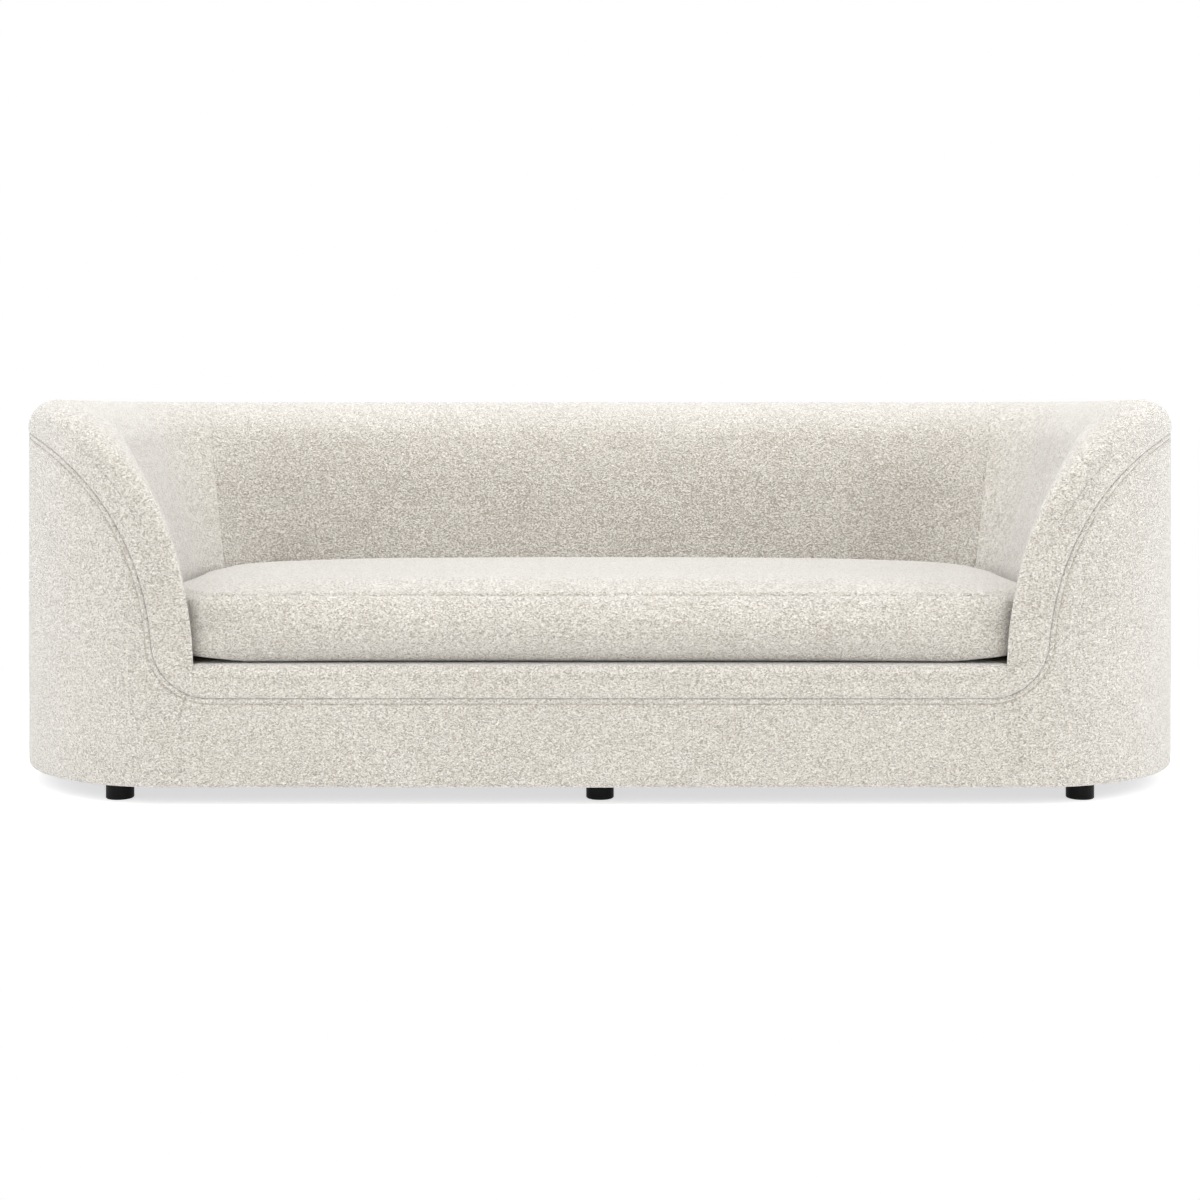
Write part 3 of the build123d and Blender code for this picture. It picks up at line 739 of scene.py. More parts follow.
class SOFA_OT_rim_covers(bpy.types.Operator):
    """Covers the rim, the inside of the arms and back, and the front sill"""

    bl_idname = "sofa.rim_covers"
    bl_label = "Rim and inside covers"

    covers = {
        "inside_back": ("inside_back_cover", "back_foam"),
        "front_sill": ("sill_cover", "sill_foam"),
        "left_arm": ("inside_arm_cover_left", "arm_foam_left"),
        "right_arm": ("inside_arm_cover_right", "arm_foam_right"),
    }
    # Steps along the back, corner, arm, front curve and nose, up the wall and round its roll.
    counts = (18, 16, 8, 26, 24)
    wall_steps, roll_steps = 30, 16
    # The same across the sill's front and round its roll, then drops below it to the lap.
    sill_steps, sill_turns = 34, 7
    sill_drops = (0.030, 0.045, 0.062, 0.080)
    swell_step = 0.011
    # Distance above the seam and depth behind the face, both in metres.
    swell_profile = (
        (0.0000, 0.0026),
        (0.0008, 0.0008),
        (0.0022, -0.0006),
        (0.0055, -0.0019),
        (0.0100, -0.0021),
        (0.0170, -0.0015),
        (0.0250, -0.0006),
        (0.0330, 0.0001),
        (0.0400, 0.0012),
    )
    # The topmost contour lies this far below the rim's height, where the roll has closed.
    top_gap = 0.0003
    # Share of the mitre's tuck that is left at the top of the rim.
    least_tuck = 0.3

    def execute(self, context):
        shell = Shell()
        size, seam = shell.size, shell.seam
        bm = bmesh.new()
        rows = [shell.half_contour(z, self.counts) for z in self.levels(size)]
        top = skin(bm, rows)[-1]
        tip = sum(self.counts[:4]) + self.counts[4] // 2
        bmesh.ops.bridge_loops(bm, edges=top[: tip - 1] + top[tip + 1 :])
        corner = {vert for edge in top[tip - 1 : tip + 1] for vert in edge.verts}
        bmesh.ops.contextual_create(bm, geom=list(corner))
        skin(bm, self.sill_rows(shell, rows[0]))
        skin(bm, self.swell_rows(shell))
        bmesh.ops.remove_doubles(bm, verts=bm.verts[:], dist=1e-5)
        mirrored(bm)
        crown = size.height - 0.010
        face_out(bm, lambda face: face.normal.z if face.calc_center_median().z > crown else 0)

        planes = [shell.mitre_plane(side) for side in (-1, 1)]
        for reach in (0, seam.tuck_reach, -seam.tuck_reach):
            for place, normal in planes:
                cut(bm, place + normal * reach, normal)
        for side in (-1, 1):
            cut(bm, (side * size.sill_half, 0, 0), (1, 0, 0))

        def owner(point):
            """The cover that a point belongs to."""
            if point.y > 0 and all((point - place).dot(normal) < 0 for place, normal in planes):
                return "inside_back"
            if point.y < 0 and abs(point.x) < size.sill_half:
                return "front_sill"
            return "left_arm" if point.x < 0 else "right_arm"

        tufted = finish("boucle_arm", boucle, 0.0, 1.2)
        cloths = {
            # Painted shade: the inside back's cloth is painted 12 % darker below the rim.
            "inside_back": finish("boucle_back", boucle, 0.12),
            "left_arm": tufted,
            "right_arm": tufted,
        }
        for name, replaced in self.covers.items():
            part = bm.copy()
            keep_faces(part, lambda point: owner(point) == name)
            self.tuck(part, planes, size, seam.tuck)
            piece = new_piece(name, part, "frame", "boucle", replaced, cloths.get(name))
            soften(piece)
        bm.free()
        return {"FINISHED"}

    def levels(self, size):
        """Heights of the contours: even up the wall, then closer round the roll."""
        roll_start = size.height - size.inner_rise
        heights = between(size.sill, roll_start, self.wall_steps)[:-1]
        for turn in between(0, pi / 2, self.roll_steps)[:-1]:
            heights.append(roll_start + size.inner_rise * sin(turn))
        return heights + [size.height - self.top_gap]

    def sill_rows(self, shell, foot):
        """Rows of the front band, from the sill's top over its roll and down behind the seam."""
        size = shell.size
        arc_end = sum(self.counts[:4])
        start = arc_end - self.counts[3] // 4
        stop = arc_end
        while foot[stop + 1].y - shell.front < size.sill_roll:
            stop += 1
        columns = [(point.x, point.y, n > arc_end) for n, point in enumerate(foot)]
        columns = columns[start : stop + 1]
        columns += [(x, 0, True) for x in between(columns[-1][0], 0, self.sill_steps)[1:]]
        drops = [size.sill_roll * (1 - cos(turn)) for turn in between(0, pi / 2, self.sill_turns)]
        flat = [(x, min(y, shell.front + size.sill_depth), size.sill) for x, y, _ in columns]
        rows = [flat]
        for drop in [*drops, *self.sill_drops]:
            above = max(size.sill_roll - drop, 0)
            roll = size.sill_roll - sqrt(size.sill_roll**2 - above**2)
            z = size.sill - drop
            row = []
            for x, y, rolls in columns:
                place, depth = shell.along((x, y))
                depth = min(depth, roll) if rolls else 0
                row.append((*shell.outer_point(place, depth + shell.lapped(place, z)), z))
            rows.append(row)
        return rows

    def swell_rows(self, shell):
        """Rows of the rim's cover where it swells beside the seam."""
        size, course = shell.size, shell.course
        marks = between(0, course.length, int(course.length / self.swell_step))
        rows = []
        for gap, inset in self.swell_profile:
            row = []
            for mark in marks:
                along, z = course.beside(mark, -gap)
                depth = shell.rolled(z, size.outer_run, size.outer_rise)
                if along > 0 and z > size.sill:
                    depth = read_off(shell.depths(z), along)
                row.append((*shell.outer_point(along, depth + inset), z))
            rows.append(row)
        return rows

    def tuck(self, bm, planes, size, depth):
        """Draws the cut edges in at the mitre seams, less and less up the rim's roll."""
        bm.normal_update()
        for place, normal in planes:
            edge = [vert for vert in bm.verts if abs((vert.co - place).dot(normal)) < 1e-5]
            for vert in edge:
                if vert.co.y > 0:
                    fade = smooth_step((size.height - vert.co.z) / size.inner_rise)
                    vert.co -= vert.normal * depth * mix(self.least_tuck, 1, fade)


class SOFA_OT_outside_covers(bpy.types.Operator):
    """Covers the outside below the seam: both ends, the front and the back"""

    bl_idname = "sofa.outside_covers"
    bl_label = "Outside covers"

    # Distance below the seam and depth behind the face, both in metres.
    lap_profile = (
        (0.0000, 0.0032),
        (0.0008, 0.0012),
        (0.0022, 0.0000),
        (0.0055, -0.0004),
        (0.0080, 0.0001),
        (0.0100, 0.0029),
        (0.0120, 0.0001),
        (0.0165, -0.0004),
        (0.0260, 0.0000),
    )
    # Shares of the way from there down to the hem, then rise and depth round the hem.
    falls = (0.12, 0.3, 0.5, 0.7, 0.88)
    hem_profile = ((0.0100, 0.0), (0.0040, 0.0008), (0.0010, 0.0034), (0.0, 0.0080), (0.0, 0.0200))
    # Cloth that is turned in at the seam and the hem.
    turned_in = 0.03
    # Columns beside an upright join, then further on, and how wide the join is drawn in.
    join_steps, join_clear, column_step = (0.0, 0.0012, 0.0030, 0.0070), 0.014, 0.013
    join_reach = 0.0025

    def execute(self, context):
        shell = Shell()
        past = shell.quarter + shell.seam.join_past
        gap = self.lap_profile[-1][0]
        back_join = shell.course.mark_of(-shell.arm - past, gap)
        front_join = shell.course.mark_of(past, gap)
        self.ends(shell, back_join, front_join)
        self.panel(shell, "back", 0, back_join)
        self.panel(shell, "front", front_join, shell.course.length)
        return {"FINISHED"}

    def ends(self, shell, start, stop):
        """The two end covers, mirror images of each other."""
        rows = self.rows(shell, start, stop)
        for side, way in (("left", 1), ("right", -1)):
            bm = bmesh.new()
            skin(bm, [[(way * x, y, z) for x, y, z in row] for row in rows])
            boards = [f"{board}_{side}" for board in ("side_board", "front_wing", "rear_corner")]
            self.stretch(bm, f"{side}_end", f"end_cover_{side}", boards, self.girth(rows))

    def panel(self, shell, side, start, stop):
        """The front or back cover, from its left half."""
        rows = self.rows(shell, start, stop)
        bm = bmesh.new()
        skin(bm, rows)
        mirrored(bm)
        self.stretch(bm, f"{side}_panel", f"{side}_cover", [f"{side}_board"], 2 * self.girth(rows))

    def girth(self, rows):
        """The length of a cover round the sofa."""
        line = [Vector(point) for point in rows[len(self.lap_profile)]]
        return sum((after - before).length for before, after in zip(line, line[1:]))

    def stretch(self, bm, name, node, boards, girth):
        """Turns the faces out and makes the cover a smooth piece with the cloth's thickness."""
        face_out(bm, lambda face: face.normal.xy.dot(face.calc_center_median().xy))
        area = sum(face.calc_area() for face in bm.faces)
        piece = new_piece(name, bm, "frame", "boucle", (node,))
        soften(piece)

    def rows(self, shell, start, stop):
        """Rows of points from the seam down to the hem, drawn in at the upright joins."""
        size, seam, course = shell.size, shell.seam, shell.course
        steps = max(int((stop - start) / self.column_step), 4)
        marks = [start + gap for gap in self.join_steps]
        marks += between(start + self.join_clear, stop - self.join_clear, steps)
        marks += [stop - gap for gap in reversed(self.join_steps)]
        ends = [end for end in (start, stop) if 0 < end < course.length]

        def point(mark, along, z, inset):
            gaps = [(mark - end) / self.join_reach for end in ends]
            draw = sum(seam.join_tuck * exp(-(gap**2)) for gap in gaps)
            return (*shell.outer_point(along, inset - size.proud + draw), z)

        rows = [
            [point(mark, *course.beside(mark, gap), inset) for mark in marks]
            for gap, inset in self.lap_profile
        ]
        foot = [course.beside(mark, self.lap_profile[-1][0]) for mark in marks]
        lower = [(share, *self.hem_profile[0]) for share in self.falls]
        lower += [(1, *step) for step in self.hem_profile]
        for share, rise, inset in lower:
            hem = size.ground + rise
            rows.append(
                [
                    point(mark, along, mix(z, hem, share), inset)
                    for mark, (along, z) in zip(marks, foot)
                ]
            )
        return rows


class SOFA_OT_top_stitching(bpy.types.Operator):
    """Sews the row of stitches beside the seam"""

    bl_idname = "sofa.top_stitching"
    bl_label = "Top stitching"

    # How far the stitches lie behind the outside covers' face.
    sunk = 0.0014

    def execute(self, context):
        shell = Shell()
        seam, course = shell.seam, shell.course
        bm = bmesh.new()
        for index in range(int(course.length / seam.stitch_pitch)):
            mark = (index + 0.5) * seam.stitch_pitch
            ends = []
            for way in (-1, 1):
                along, z = course.beside(mark + way * seam.stitch_length / 2, seam.stitch_gap)
                ends.append(Vector((*shell.outer_point(along, self.sunk - shell.size.proud), z)))
            run = ends[1] - ends[0]
            turn = run.to_track_quat("X", "Z").to_matrix().to_4x4()
            shape = Matrix.Diagonal((run.length / 2, seam.stitch_radius, seam.stitch_radius, 1))
            place = Matrix.Translation((ends[0] + ends[1]) / 2) @ turn @ shape
            bmesh.ops.create_uvsphere(bm, u_segments=6, v_segments=4, radius=1, matrix=place)
        mirrored(bm)
        thread = finish("thread", woven, "thread", 900.0)
        new_piece("top_stitching", bm, "frame", "boucle", material=thread)
        return {"FINISHED"}


class SOFA_OT_bench_cushion(bpy.types.Operator):
    """Sews and fills the loose bench cushion"""

    bl_idname = "sofa.bench_cushion"
    bl_label = "Bench cushion"

    # Deck to the cushion's underside, and how far its seam is drawn below its sewn edge.
    rest_gap, seam_drop = 0.0003, 0.001
    # Steps of the tub's contour that the plan follows, and of its straight front.
    counts = (24, 16, 12, 16, 24)
    front_steps = 30
    frames, smoothing_rounds = 20, 6
    # Faces that lean less than this are left out when the lower edge is firmed up.
    least_lean = 0.2
    # Room round the zip's slider, the zip's clearance from the slot's floor, and depths of cloth
    # behind the zip: what is cut for the slot, and what is moved.
    slot_lip, slot_gap, cut_depth, slot_depth = 0.0015, 0.0006, 0.02, 0.01

    def execute(self, context):
        shell = Shell()
        made = context.scene.cushion_sizes
        low = shell.size.sill + self.rest_gap
        seam_height = low + made.side
        bm = bmesh.new()
        self.sew(bm, shell, made, low, seam_height)
        replaced = ("cushion_cover", "cushion_core")
        piece = new_piece("bench_cushion", bm, "seat_cushion", "boucle", replaced)
        self.fill(context, piece, made, low)
        self.settle(piece)
        self.firm_up(piece, made, low)
        self.lift_corners(piece, shell, made, low)
        self.draw_seam(piece, made, seam_height - self.seam_drop)
        self.open_slot(piece)
        return {"FINISHED"}

    def sew(self, bm, shell, made, low, seam_height):
        """The unfilled cushion: boxed sides between a flat top and bottom."""
        # Heights, and how far the cover is drawn in there.
        levels = (
            (low, 0.012),
            (low + 0.004, 0.004),
            (low + 0.012, 0.0),
            ((low + seam_height) / 2, 0.003),
            (seam_height - 0.010, 0.0),
            (seam_height, 0.003),
        )
        loops = []
        for z, draw in levels:
            half = self.half_plan(shell, made, made.gap + made.shrink + draw)
            other = [Vector((-x, y)) for x, y in reversed(half[1:-1])]
            loops.append([Vector((x, y, z)) for x, y in half + other])
        skin(bm, loops, closed=True)
        bmesh.ops.holes_fill(bm, edges=[edge for edge in bm.edges if edge.is_boundary])
        face_out(bm, lambda face: face.normal.z if face.calc_center_median().z > seam_height else 0)

    def half_plan(self, shell, made, inset):
        """Left half of the plan: straight along the front, then round the tub's inside."""
        clear = 0.001
        wall = [point.xy for point in shell.half_contour(shell.size.sill, self.counts, bare=True)]
        tip = sum(self.counts[:4]) + self.counts[4] // 2
        front = shell.front + made.setback + inset - made.gap
        plan = []
        for before, point, after in zip(wall[tip - 1 :], wall[tip:], wall[tip + 1 :]):
            way = (after - before).normalized()
            plan.append(point + inset * Vector((way.y, -way.x)))
        plan = [point for point in plan if point.y > front + clear]
        plan.append(Vector((0, wall[-1].y - inset)))
        edge = [Vector((x, front)) for x in between(0, plan[0].x + clear, self.front_steps)]
        return edge + plan

    def fill(self, context, piece, made, low):
        """Fills the sewn cover as cloth under pressure, then sets the mesh to what it became."""
        scene = context.scene
        context.view_layer.objects.active = piece
        piece.select_set(True)
        piece.data.remesh_voxel_size = made.voxel
        bpy.ops.object.voxel_remesh()
        cloth = piece.modifiers.new("Filling", "CLOTH")
        cloth.settings.use_pressure = True
        cloth.settings.uniform_pressure_force = made.pressure
        cloth.settings.effector_weights.gravity = 0
        cloth.settings.tension_stiffness = 30
        cloth.settings.compression_stiffness = 30
        cloth.settings.bending_stiffness = 2
        cloth.settings.quality = 4
        for index in range(1, self.frames + 1):
            scene.frame_set(index)
        filled = piece.evaluated_get(context.evaluated_depsgraph_get()).to_mesh()
        for vert, moved in zip(piece.data.vertices, filled.vertices):
            swell = moved.co - vert.co
            if swell.length > made.most_swell:
                swell *= made.most_swell / swell.length
            place = vert.co + swell
            vert.co = place.x, place.y, max(place.z, low)
        piece.modifiers.remove(cloth)
        scene.frame_set(1)
        piece.select_set(False)

    def settle(self, piece):
        """Smooths the ripples out of the cloth."""
        axes = {f"use_axis_{axis}": True for axis in "xyz"}
        with edited(piece) as bm:
            for _ in range(self.smoothing_rounds):
                bmesh.ops.smooth_vert(bm, verts=bm.verts[:], factor=0.5, **axes)

    def firm_up(self, piece, made, low):
        """Draws the lower edge out to the tighter radius of a boxed border."""
        moves = []
        for vert in piece.data.vertices:
            side = Vector((vert.normal.x, vert.normal.y, 0))
            rise = vert.co.z - low
            if rise < made.soft_foot and side.length > self.least_lean:
                draw = corner_draw(rise, made.soft_foot) - corner_draw(rise, made.firm_foot)
                moves.append((vert, side.normalized() * draw * min(side.length * 2, 1)))
        for vert, move in moves:
            vert.co += move

    def lift_corners(self, piece, shell, made, low):
        """Lifts the lower front corners a little off the sill."""
        half = shell.size.width / 2 - shell.size.arm_seat - made.gap
        front = shell.front + made.setback
        for vert in piece.data.vertices:
            x, y, z = vert.co
            reach = smooth_step((abs(x) - half + made.lift_run + made.corner / 2) / made.lift_run)
            near = smooth_step(1 - (y - front) / (2 * made.corner))
            share = max(1 - (z - low) / made.side, 0) ** 2
            vert.co.z += made.lift * reach * near * share

    def draw_seam(self, piece, made, seam_height):
        """Refines the mesh and draws the seam in round the top edge."""
        with edited(piece) as bm:
            bmesh.ops.subdivide_edges(bm, edges=bm.edges[:], cuts=1, use_grid_fill=True, smooth=0.5)
            for rise in (-made.seam_half, 0, made.seam_half):
                cut(bm, (0, 0, seam_height + rise), (0, 0, 1), snap=1e-5)
            bm.normal_update()
            moves = []
            for vert in bm.verts:
                share = 1 - abs(vert.co.z - seam_height) / made.seam_half
                if share > 0:
                    moves.append((vert, vert.normal * made.seam_depth * share))
            for vert, move in moves:
                vert.co -= move

    def open_slot(self, piece):
        """Sinks the slot that the zip lies in, with room for its slider, into the back."""
        lip = self.slot_lip
        low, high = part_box("cushion_zip")
        low.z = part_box("zip_slider")[0].z - lip
        cuts = [((0, 0, z), (0, 0, 1)) for z in (low.z - lip, low.z, high.z, high.z + lip)]
        cuts += [((x, 0, 0), (1, 0, 0)) for x in (low.x - lip, low.x, high.x, high.x + lip)]
        rear = low.y - self.cut_depth
        with edited(piece) as bm:
            for place, normal in cuts:
                faces = [face for face in bm.faces if min(v.co.y for v in face.verts) > rear]
                edges = {edge: None for face in faces for edge in face.edges}
                verts = {vert: None for face in faces for vert in face.verts}
                cut(bm, place, normal, [*verts, *edges, *faces])
            for vert in bm.verts:
                x, y, z = vert.co
                inside = max(low.x - x, x - high.x, low.z - z, z - high.z) < 1e-5
                if inside and y > low.y - self.slot_depth:
                    vert.co.y = low.y - self.slot_gap
        shade(piece, True)


def corner_draw(rise, radius):
    """How far a rounded lower edge draws in at a rise above the bottom."""
    below = min(max(radius - rise, 0), radius)
    return radius - sqrt(radius**2 - below**2)


class SOFA_OT_cushion_zip(bpy.types.Operator):
    """Sets the zip's tapes and teeth into the back of the cushion"""

    bl_idname = "sofa.cushion_zip"
    bl_label = "Cushion zip"

    tape_steps, tape_thickness = 60, 0.0006
    # A tooth's share of the pitch, its depth, its height, and how far it stands off the middle.
    tooth_share, tooth_deep, tooth_tall, stagger = 0.6, 0.0010, 0.0042, 0.0006
    # The zip's inner face to the middle of the teeth.
    tooth_rise = 0.0008

    def execute(self, context):
        low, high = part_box("cushion_zip")
        middle = (low.z + high.z) / 2
        self.tapes(low, high, middle)
        self.teeth(low, high, middle, context.scene.cushion_sizes.tooth_pitch)
        return {"FINISHED"}

    def tapes(self, low, high, middle):
        """Two strips of tape with a slit between them."""
        half = high.z - middle
        # Distance from the middle, and rise off the zip's inner face.
        profile = ((0.0008, 0.0009), (0.0030, 0.0008), (half - 0.002, 0.0008), (half, 0.0007))
        columns = between(low.x, high.x, self.tape_steps)
        bm = bmesh.new()
        for side in (-1, 1):
            rows = [
                [(x, low.y + rise, middle + side * gap) for x in columns] for gap, rise in profile
            ]
            skin(bm, rows)
        face_out(bm, lambda face: face.normal.y)
        piece = new_piece("zip_tapes", bm, "seat_cushion", "zip_tape", ("cushion_zip",))
        thicken(piece, self.tape_thickness)

    def teeth(self, low, high, middle, pitch):
        """Teeth that stand off the middle to each side in turn."""
        count = int((high.x - low.x) / pitch) - 2
        size = Matrix.Diagonal((pitch * self.tooth_share, self.tooth_deep, self.tooth_tall, 1))
        bm = bmesh.new()
        for index in range(count):
            x = (index - (count - 1) / 2) * pitch
            z = middle + (self.stagger if index % 2 else -self.stagger)
            place = Matrix.Translation((x, low.y + self.tooth_rise, z))
            bmesh.ops.create_cube(bm, size=1, matrix=place @ size)
        shade(new_piece("zip_teeth", bm, "seat_cushion", "zip_metal"), False)


def rounded_plan(half_x, half_y, radius):
    """Points of a rounded rectangle, evenly spaced along each corner and side."""
    corner_steps, side_steps = 14, (60, 20)
    corners = []
    for turn, (side_x, side_y) in enumerate(((1, 1), (-1, 1), (-1, -1), (1, -1))):
        centre = Vector((side_x * (half_x - radius), side_y * (half_y - radius)))
        angles = between(turn * pi / 2, (turn + 1) * pi / 2, corner_steps)
        corners.append([centre + radius * Vector((cos(angle), sin(angle))) for angle in angles])
    points = []
    for turn, corner in enumerate(corners):
        onward = corners[(turn + 1) % 4][0]
        points += corner + between(corner[-1], onward, side_steps[turn % 2])[1:-1]
    return points


class SOFA_OT_seat_deck(bpy.types.Operator):
    """Lays the plain cloth deck under the cushion"""

    bl_idname = "sofa.seat_deck"
    bl_label = "Seat deck"

    # How far each ring lies inside the last and above it: the edge, its roll and the flat top.
    rings = ((0.001, 0.009), (0.003, 0.0024), (0.010, 0.0006), (0.030, 0.0), (0.060, 0.0))

    def execute(self, context):
        low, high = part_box("deck_cover")
        half = (high - low) / 2
        middle = (low + high) / 2
        foot = high.z - sum(rise for _, rise in self.rings)
        plan = rounded_plan(half.x, half.y, context.scene.shell_sizes.tub_seat)
        bm = bmesh.new()
        top = bm.faces.new([bm.verts.new((x, y + middle.y, foot)) for x, y in plan])
        bm.normal_update()
        if top.normal.z < 0:
            top.normal_flip()
        for draw, rise in self.rings:
            bmesh.ops.inset_region(
                bm, faces=[top], thickness=draw, depth=rise, use_boundary=True, use_even_offset=True
            )
        bm.normal_update()
        replaced = ("deck_cover", "deck_pad")
        piece = new_piece("seat_deck", bm, "frame", "deck_cloth", replaced)
        return {"FINISHED"}


class SOFA_OT_under_cloth(bpy.types.Operator):
    """Stretches the black cloth under the base, with a hole for each foot"""

    bl_idname = "sofa.under_cloth"
    bl_label = "Cloth under the base"

    # Room round a foot, the points of its hole, the cloth's grid and its sag.
    foot_room, hole_steps, grid, sag = 0.003, 32, 0.06, 0.008
    # How far from a foot's middle the cloth is held flat, and over what length it eases off.
    held_flat, easing = 0.04, 0.15

    def execute(self, context):
        low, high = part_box("dust_cover")
        size = context.scene.shell_sizes
        half = (high - low) / 2
        plan = rounded_plan(half.x, half.y, size.corner - size.width / 2 + half.x)
        outlines = [plan]
        feet = []
        for end in ("front", "rear"):
            for side in ("left", "middle", "right"):
                foot_low, foot_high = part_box(f"foot_{end}_{side}")
                foot = (foot_low.xy + foot_high.xy) / 2
                radius = (foot_high.x - foot_low.x) / 2 + self.foot_room
                turns = between(0, 2 * pi, self.hole_steps)[:-1]
                outlines.append([foot + radius * Vector((cos(turn), sin(turn))) for turn in turns])
                feet.append(foot)
        bm = bmesh.new()
        edges = []
        for outline in outlines:
            edges += chain(bm, [(x, y, high.z) for x, y in outline], True)
        bmesh.ops.triangle_fill(bm, use_beauty=True, edges=edges, normal=(0, 0, -1))
        for normal, reach in ((Vector((1, 0, 0)), half.x), (Vector((0, 1, 0)), half.y)):
            for gap in between(-reach, reach, int(2 * reach / self.grid))[1:-1]:
                cut(bm, normal * gap, normal)
        for vert in bm.verts:
            x, y, _ = vert.co
            clear = min((vert.co.xy - foot).length for foot in feet) - self.held_flat
            slack = max(1 - (x / half.x) ** 4, 0) * max(1 - (y / half.y) ** 2, 0)
            vert.co.z -= self.sag * slack * smooth_step(clear / self.easing)
        face_out(bm, lambda face: -face.normal.z)
        flat = (2 * half.x, 2 * half.y)
        area = min(sum(face.calc_area() for face in bm.faces), flat[0] * flat[1])
        piece = new_piece("under_cloth", bm, "frame", "lining", ("dust_cover",))
        thicken(piece, high.z - low.z, 1)
        return {"FINISHED"}


class SOFA_OT_frame_finishes(bpy.types.Operator):
    """Finishes the feet, the wooden frame, the springs and the fixings"""

    bl_idname = "sofa.frame_finishes"
    bl_label = "Frame finishes"

    def execute(self, context):
        for subpart in frame["record"]["subparts"]:
            mesh = frame["nodes"][subpart["node"]].data
            mesh.materials.clear()
            mesh.materials.append(slot_finish(subpart["material_slot"]))
        return {"FINISHED"}


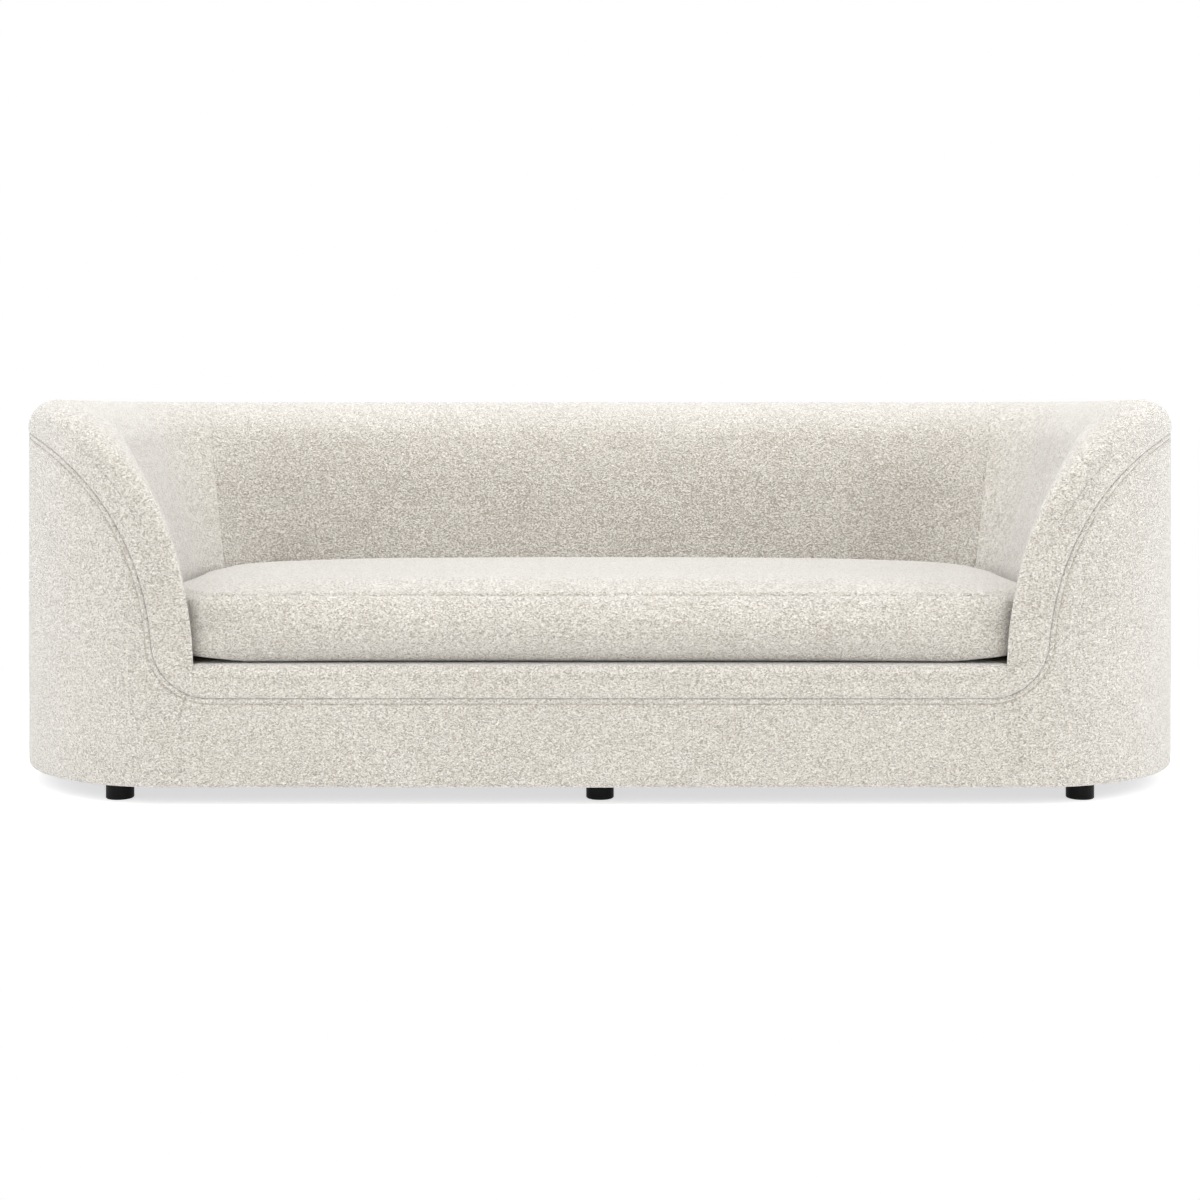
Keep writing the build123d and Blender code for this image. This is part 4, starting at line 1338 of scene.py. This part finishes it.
class SOFA_OT_studio(bpy.types.Operator):
    """Sets up the pale floor, the soft light and the camera"""

    bl_idname = "sofa.studio"
    bl_label = "Studio"

    # Place, target, size and power of each soft box.
    lamps = {
        "overhead": ((0.0, -0.7, 3.0), (0.0, -0.1, 0.4), (4.4, 1.8), 74),
        "left_side": ((-3.6, -0.6, 1.3), (0.0, -0.2, 0.4), (2.4, 2.2), 24),
        "right_side": ((3.6, -0.6, 1.3), (0.0, -0.2, 0.4), (2.4, 2.2), 38),
    }
    floor_half, floor_tone, floor_glow = 14, 0.60, 0.64
    # Distance from the middle over which the floor turns white, measured with x shortened.
    floor_fade, floor_stretch = (0.9, 1.6), (0.55, 1.0, 1.0)
    sky_light = 0.97

    def execute(self, context):
        self.floor(context)
        self.sky(context)
        for name, values in self.lamps.items():
            self.lamp(context, name, *values)
        self.camera(context)
        context.scene.view_settings.view_transform = "Standard"
        return {"FINISHED"}

    def floor(self, context):
        """A white floor that keeps the sofa's shadow."""
        bm = bmesh.new()
        bmesh.ops.create_grid(bm, x_segments=1, y_segments=1, size=self.floor_half)
        mesh = bpy.data.meshes.new("studio_floor")
        bm.to_mesh(mesh)
        bm.free()
        plane = bpy.data.objects.new("studio_floor", mesh)
        context.scene.collection.objects.link(plane)
        made = Finish("studio_floor")
        made.surface(
            Base_Color=(*[self.floor_tone] * 3, 1),
            Roughness=1.0,
            Specular_IOR_Level=0.0,
            Emission_Color=(1, 1, 1, 1),
            Emission_Strength=self.floor_glow,
        )
        seen = made.add("ShaderNodeLightPath", {}, {}, "Is Camera Ray")
        place = made.stretched(made.place(), self.floor_stretch)
        gap = made.add("ShaderNodeVectorMath", {"operation": "LENGTH"}, {0: place}, "Value")
        share = seen * made.ramp(gap, *self.floor_fade)
        white = made.add("ShaderNodeEmission", {}, {"Color": (1, 1, 1, 1), "Strength": 1.0})
        lit = Wire(made, made.shader.outputs[0])
        surface = made.add("ShaderNodeMixShader", {}, {0: share, 1: lit, 2: white})
        made.feed(made.nodes["Material Output"].inputs["Surface"], surface)
        mesh.materials.append(made.material)

    def sky(self, context):
        """Even light from all round, and plain white where the camera sees it."""
        world = bpy.data.worlds.new("studio")
        context.scene.world = world
        world.use_nodes = True
        nodes, links = world.node_tree.nodes, world.node_tree.links
        light = nodes["Background"]
        white = nodes.new("ShaderNodeBackground")
        for node, strength in ((light, self.sky_light), (white, 1.0)):
            node.inputs["Color"].default_value = (1, 1, 1, 1)
            node.inputs["Strength"].default_value = strength
        path = nodes.new("ShaderNodeLightPath")
        choice = nodes.new("ShaderNodeMixShader")
        links.new(path.outputs["Is Camera Ray"], choice.inputs[0])
        links.new(light.outputs[0], choice.inputs[1])
        links.new(white.outputs[0], choice.inputs[2])
        links.new(choice.outputs[0], nodes["World Output"].inputs["Surface"])

    def lamp(self, context, name, place, target, size, power):
        """A rectangular soft box."""
        data = bpy.data.lights.new(name, "AREA")
        data.shape = "RECTANGLE"
        data.size, data.size_y = size
        data.energy = power
        lamp = bpy.data.objects.new(name, data)
        lamp.location = place
        lamp.rotation_euler = (Vector(target) - Vector(place)).to_track_quat("-Z", "Y").to_euler()
        context.scene.collection.objects.link(lamp)

    def camera(self, context):
        """A level camera in front, with the frame shifted down as in the photograph."""
        data = bpy.data.cameras.new("camera")
        data.sensor_width = 36
        data.lens = 54.6
        data.shift_y = -0.154
        camera = bpy.data.objects.new("camera", data)
        camera.location = (0.0, -3.8325, 0.719)
        camera.rotation_euler = (pi / 2, 0, 0)
        context.scene.collection.objects.link(camera)
        context.scene.camera = camera


class SOFA_PT_panel(bpy.types.Panel):
    """Lists the steps of the build"""

    bl_label = "Tub sofa"
    bl_idname = "SOFA_PT_panel"
    bl_space_type = "VIEW_3D"
    bl_region_type = "UI"
    bl_category = "Sofa"

    def draw(self, context):
        for operator in OPERATORS:
            self.layout.operator(operator.bl_idname)


OPERATORS = (
    SOFA_OT_frame_finishes,
    SOFA_OT_rim_covers,
    SOFA_OT_outside_covers,
    SOFA_OT_top_stitching,
    SOFA_OT_bench_cushion,
    SOFA_OT_cushion_zip,
    SOFA_OT_seat_deck,
    SOFA_OT_under_cloth,
    SOFA_OT_studio,
)
GROUPS = {
    "shell_sizes": ShellSizes,
    "seam_sizes": SeamSizes,
    "cushion_sizes": CushionSizes,
    "finishes": Finishes,
}


def register():
    for name, group in GROUPS.items():
        bpy.utils.register_class(group)
        setattr(bpy.types.Scene, name, bpy.props.PointerProperty(type=group))
    for operator in OPERATORS:
        bpy.utils.register_class(operator)
    bpy.utils.register_class(SOFA_PT_panel)


def unregister():
    bpy.utils.unregister_class(SOFA_PT_panel)
    for operator in reversed(OPERATORS):
        bpy.utils.unregister_class(operator)
    for name, group in reversed(GROUPS.items()):
        delattr(bpy.types.Scene, name)
        bpy.utils.unregister_class(group)


def main():
    register()
    bpy.ops.sofa.frame_finishes()
    bpy.ops.sofa.rim_covers()
    bpy.ops.sofa.outside_covers()
    bpy.ops.sofa.top_stitching()
    bpy.ops.sofa.bench_cushion()
    bpy.ops.sofa.cushion_zip()
    bpy.ops.sofa.seat_deck()
    bpy.ops.sofa.under_cloth()
    bpy.ops.sofa.studio()


if __name__ == "__main__":
    main()
